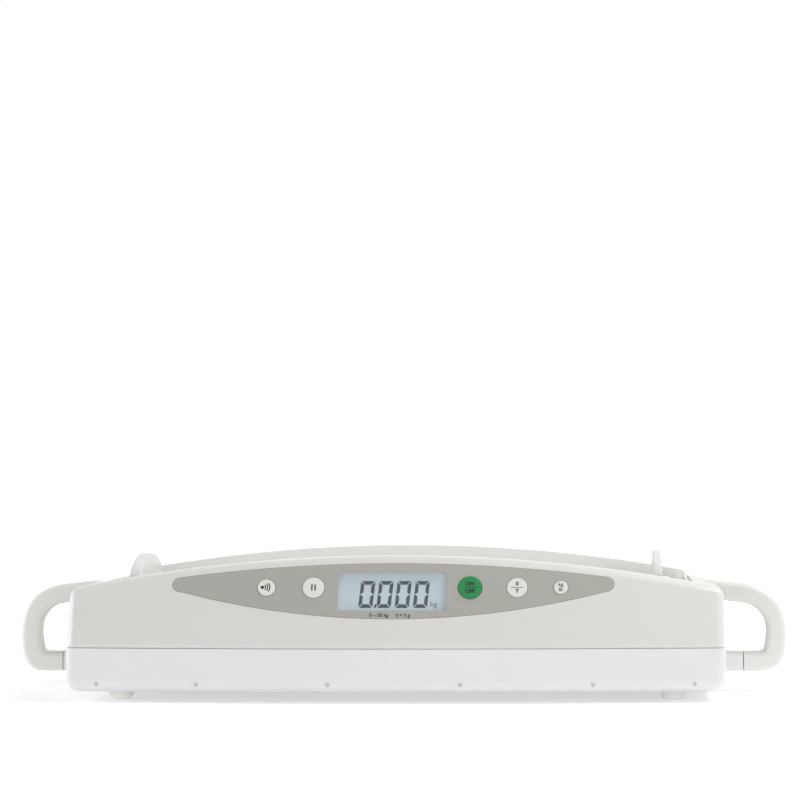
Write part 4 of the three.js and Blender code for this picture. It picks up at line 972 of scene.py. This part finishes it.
def end_plate(face, thickness, dome_rise, stop_round, side):
    """A low dome standing across the cradle, its edges rounded, on a carriage over the rail"""
    start, end = floor_y - stop_reach, rail_y - carriage_half + carriage_wall - runner_gap
    dome_y, half_dome = (start + end) / 2, (end - start) / 2
    places = [start + (end - start) * i / plate_stations for i in range(plate_stations + 1)]
    base = ledge_height + dome_above_ledge
    reaches = [half_dome + (front_ease if y < dome_y else rear_ease) for y in places]
    upper = [Vector((y, base + dome_rise * sqrt(1 - ((y - dome_y) / reach) ** 2)))
             for y, reach in zip(places, reaches)]
    lower = [Vector((y, cradle_z(0, y) + stop_clearance)) for y in places]
    outline = lower + upper[::-1]
    room = [room_share * (high.y - low.y) for high, low in zip(upper, lower)]
    room += room[::-1]
    near = rounding(stop_round, stop_round)
    rows = []
    for across, into in near + [(thickness - across, into) for across, into in near[::-1]]:
        section = drawn_inwards(outline, [min(into, most) for most in room])
        rows.append([(side * (face + across), y, z) for y, z in section])
    plate = skin(rows)
    centre = side * (face + thickness / 2)
    carriage = block(
        (centre - carriage_length / 2, rail_y - carriage_half, rail_low.z + runner_gap),
        (centre + carriage_length / 2, rail_y + carriage_half, rail_high.z + carriage_rise))
    combine(plate, bevelled(carriage, carriage_round, 4), "UNION")
    return combine(plate, rail_bar(runner_gap, -half_width, half_width, ledge_height - overlap, 0))


head_rise, head_round, foot_rise, foot_plate_round = 0.027, 0.002, 0.0294, 0.0013
head_plate = end_plate(-head_face, head_thickness, head_rise, head_round, -1)
finish_piece(head_plate, "head_plate", stop_white, "weighing_tray", "tray", "head_stop", angle=40)
foot_plate = end_plate(foot_face, foot_thickness, foot_rise, foot_plate_round, 1)
finish_piece(foot_plate, "foot_plate", stop_white, "sliding_stop", "tray", "foot_stop", angle=40)

# Feet. Four round feet of pale rubber under the corners, moulded with a wide taper and a deep round
# recess, in which the head of the foot's screw sits clear of the table.
foot_radius, foot_edge, foot_round, foot_chamfer, foot_gap = 0.0103, 0.0042, 0.0062, 0.0005, 0.0003
foot_bore, foot_recess, foot_recess_depth, recess_chamfer = 0.002, 0.0046, 0.0054, 0.0004
# The rubber is pale, and its white is raised further as painted light on the feet, which stand in the shade
# under the casing.
rubber_pale_painted_light = moulded("rubber_pale_painted_light", (246, 246, 241), 0.6, grain=0.0007, depth=0.00002)
foot_top = underside - foot_gap
foot_profile = [
    (foot_bore, foot_top), (foot_radius - foot_chamfer, foot_top), (foot_radius, foot_top - foot_chamfer),
    *[(foot_radius - inwards, height) for inwards, height in rounding(foot_edge, foot_round, 6)],
    (foot_recess + recess_chamfer, 0), (foot_recess, recess_chamfer), (foot_recess, foot_recess_depth),
    (foot_bore, foot_recess_depth)]
for i, (x, y) in enumerate(foot_places, 1):
    foot = turned(foot_profile, (x, y), 64, Matrix())
    combine(foot, post(foot_bore, x, y, foot_recess_depth - overlap, foot_top + overlap, 64))
    finish_piece(foot, f"rubber_foot_{i}", rubber_pale_painted_light, "root", "rubber", f"foot_{i}")

# Screws. Steel with a pan head and a cross recess, driven from below: one through each foot, and four
# deep in the lower casing's recesses that draw the two casings together.
screw_head, screw_head_height, screw_round, screw_shank = 0.0036, 0.0024, 0.0012, 0.0017
cross_depth, cross_length, cross_width = 0.0013, 0.0036, 0.0009
bright_steel = moulded("bright_steel", (186, 189, 193), 0.3, grain=0.0002, depth=0.000002, metallic=1.0)


def pan_screw(name, node):
    low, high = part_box(node)
    x, y = (low.x + high.x) / 2, (low.y + high.y) / 2
    head_top = low.z + screw_head_height
    edge = [(screw_head - inwards, low.z + height) for inwards, height in rounding(screw_round, screw_round)]
    profile = [*reversed(edge), (screw_head, head_top), (screw_shank, head_top), (screw_shank, high.z)]
    screw = turned(profile, (x, y), 40, Matrix())
    for across, along in ((cross_length, cross_width), (cross_width, cross_length)):
        combine(screw, block(
            (x - across / 2, y - along / 2, low.z - overlap),
            (x + across / 2, y + along / 2, low.z + cross_depth)))
    finish_piece(screw, name, bright_steel, "root", "steel", node)


for i in range(1, 5):
    pan_screw(f"foot_cross_screw_{i}", f"foot_screw_{i}")
    pan_screw(f"casing_cross_screw_{i}", f"shell_screw_{i}")

# Battery door. A moulded cover in the same ABS that slides in the recess of the floor on two side lips,
# with three thumb grooves at its front end.
grip_width, grip_depth, grip_step, door_cover, door_round = 0.024, 0.0007, 0.003, 0.005, 0.0003
cover = block((cover_left, door_low.y, door_low.z), (cover_right, door_high.y, door_high.z))
door = bevelled(cover, door_round, 2)
combine(door, block((door_low.x, door_low.y, door_lip_height), door_high), "UNION")
door_x = (door_low.x + door_high.x) / 2
for step in (-1, 0, 1):
    grip_y = door_low.y + 2 * door_cover + (step + 0.25) * grip_step
    groove = rod(grip_step / 4, grip_width, (door_x, grip_y, door_low.z), 40, (0, pi / 2, 0))
    flatter = Matrix.Diagonal((1, 1, grip_depth * 4 / grip_step, 1))
    groove.data.transform(
        Matrix.Translation((0, 0, door_low.z)) @ flatter @ Matrix.Translation((0, 0, -door_low.z)))
    combine(door, groove)
# The cover takes the lower casing's lightened white, with its painted light.
finish_piece(door, "battery_cover", lower_white_painted_light, "door", "shell", "battery_door")

# Inner parts. They keep the shapes that they were packed with and get their real finishes: green boards
# with fine tracks, black moulded housings, milled aluminium, zinc-plated steel and grey battery jackets.


def dress(finish, *names):
    for name in names:
        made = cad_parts[name].data
        made.materials.clear()
        made.materials.append(finish)


black_plastic = moulded("black_plastic", (44, 46, 48), 0.55, grain=0.0004, depth=0.000008, mottle=0.05)
dark_rubber = moulded("dark_rubber", (52, 53, 54), 0.85, grain=0.0006, depth=0.00002, mottle=0.06)
milled_aluminium = moulded(
    "milled_aluminium", (198, 201, 204), 0.34, grain=0.0003, depth=0.000003, mottle=0.03, metallic=1.0)
plated_steel = moulded(
    "plated_steel", (184, 188, 192), 0.4, grain=0.0012, depth=0.000003, mottle=0.06, metallic=1.0)

circuit_green = moulded("circuit_green", (38, 104, 66), 0.35, grain=0.0003, depth=0.000002, coat=0.4)
tree = circuit_green.node_tree
tracks = add_node(tree, "TexBrick", {
    "Scale": 60, "Mortar Size": 0.03, "Color1": tone(34, 98, 62), "Color2": tone(42, 112, 72),
    "Mortar": tone(78, 148, 96), "Vector": tree.nodes["Texture Coordinate"].outputs["Object"]})
feed(tree, tree.nodes["Principled BSDF"], {"Base Color": tracks.outputs["Color"]})

battery_jacket = moulded("battery_jacket", (84, 90, 96), 0.35, grain=0.0004, depth=0.000002, coat=0.5)
battery_half, band_start, band_end = 0.0252, 0.62, 0.96
tree = battery_jacket.node_tree
axes = add_node(tree, "SeparateXYZ", {0: tree.nodes["Texture Coordinate"].outputs["Object"]})
from_middle = add_node(tree, "Math", {0: axes.outputs["Y"]}, operation="ABSOLUTE")
share = add_node(tree, "Math", {0: from_middle.outputs[0], 1: 1 / battery_half}, operation="MULTIPLY")
bands = add_node(tree, "ValToRGB", {"Fac": share.outputs[0]})
bands.color_ramp.interpolation = "CONSTANT"
jacket, band = bands.color_ramp.elements
jacket.color = tone(72, 78, 84)
band.position, band.color = band_start, tone(196, 160, 96)
bands.color_ramp.elements.new(band_end).color = tone(188, 190, 194)
feed(tree, tree.nodes["Principled BSDF"], {"Base Color": bands.outputs["Color"]})

dress(black_plastic, "lcd_holder", "battery_box", "buzzer", *["switch_" + name for name in key_places])
dress(circuit_green, "display_board", "main_board")
dress(milled_aluminium, "load_cell")
dress(plated_steel, "cell_base", "tray_carrier")
dress(bright_steel, *[f"{name}_{i}" for name in ("board_screw", "base_bolt", "carrier_bolt") for i in (1, 2)])
dress(dark_rubber, *[f"tray_buffer_{i}" for i in range(1, 5)])
dress(battery_jacket, *[f"battery_{i}" for i in range(1, 5)])
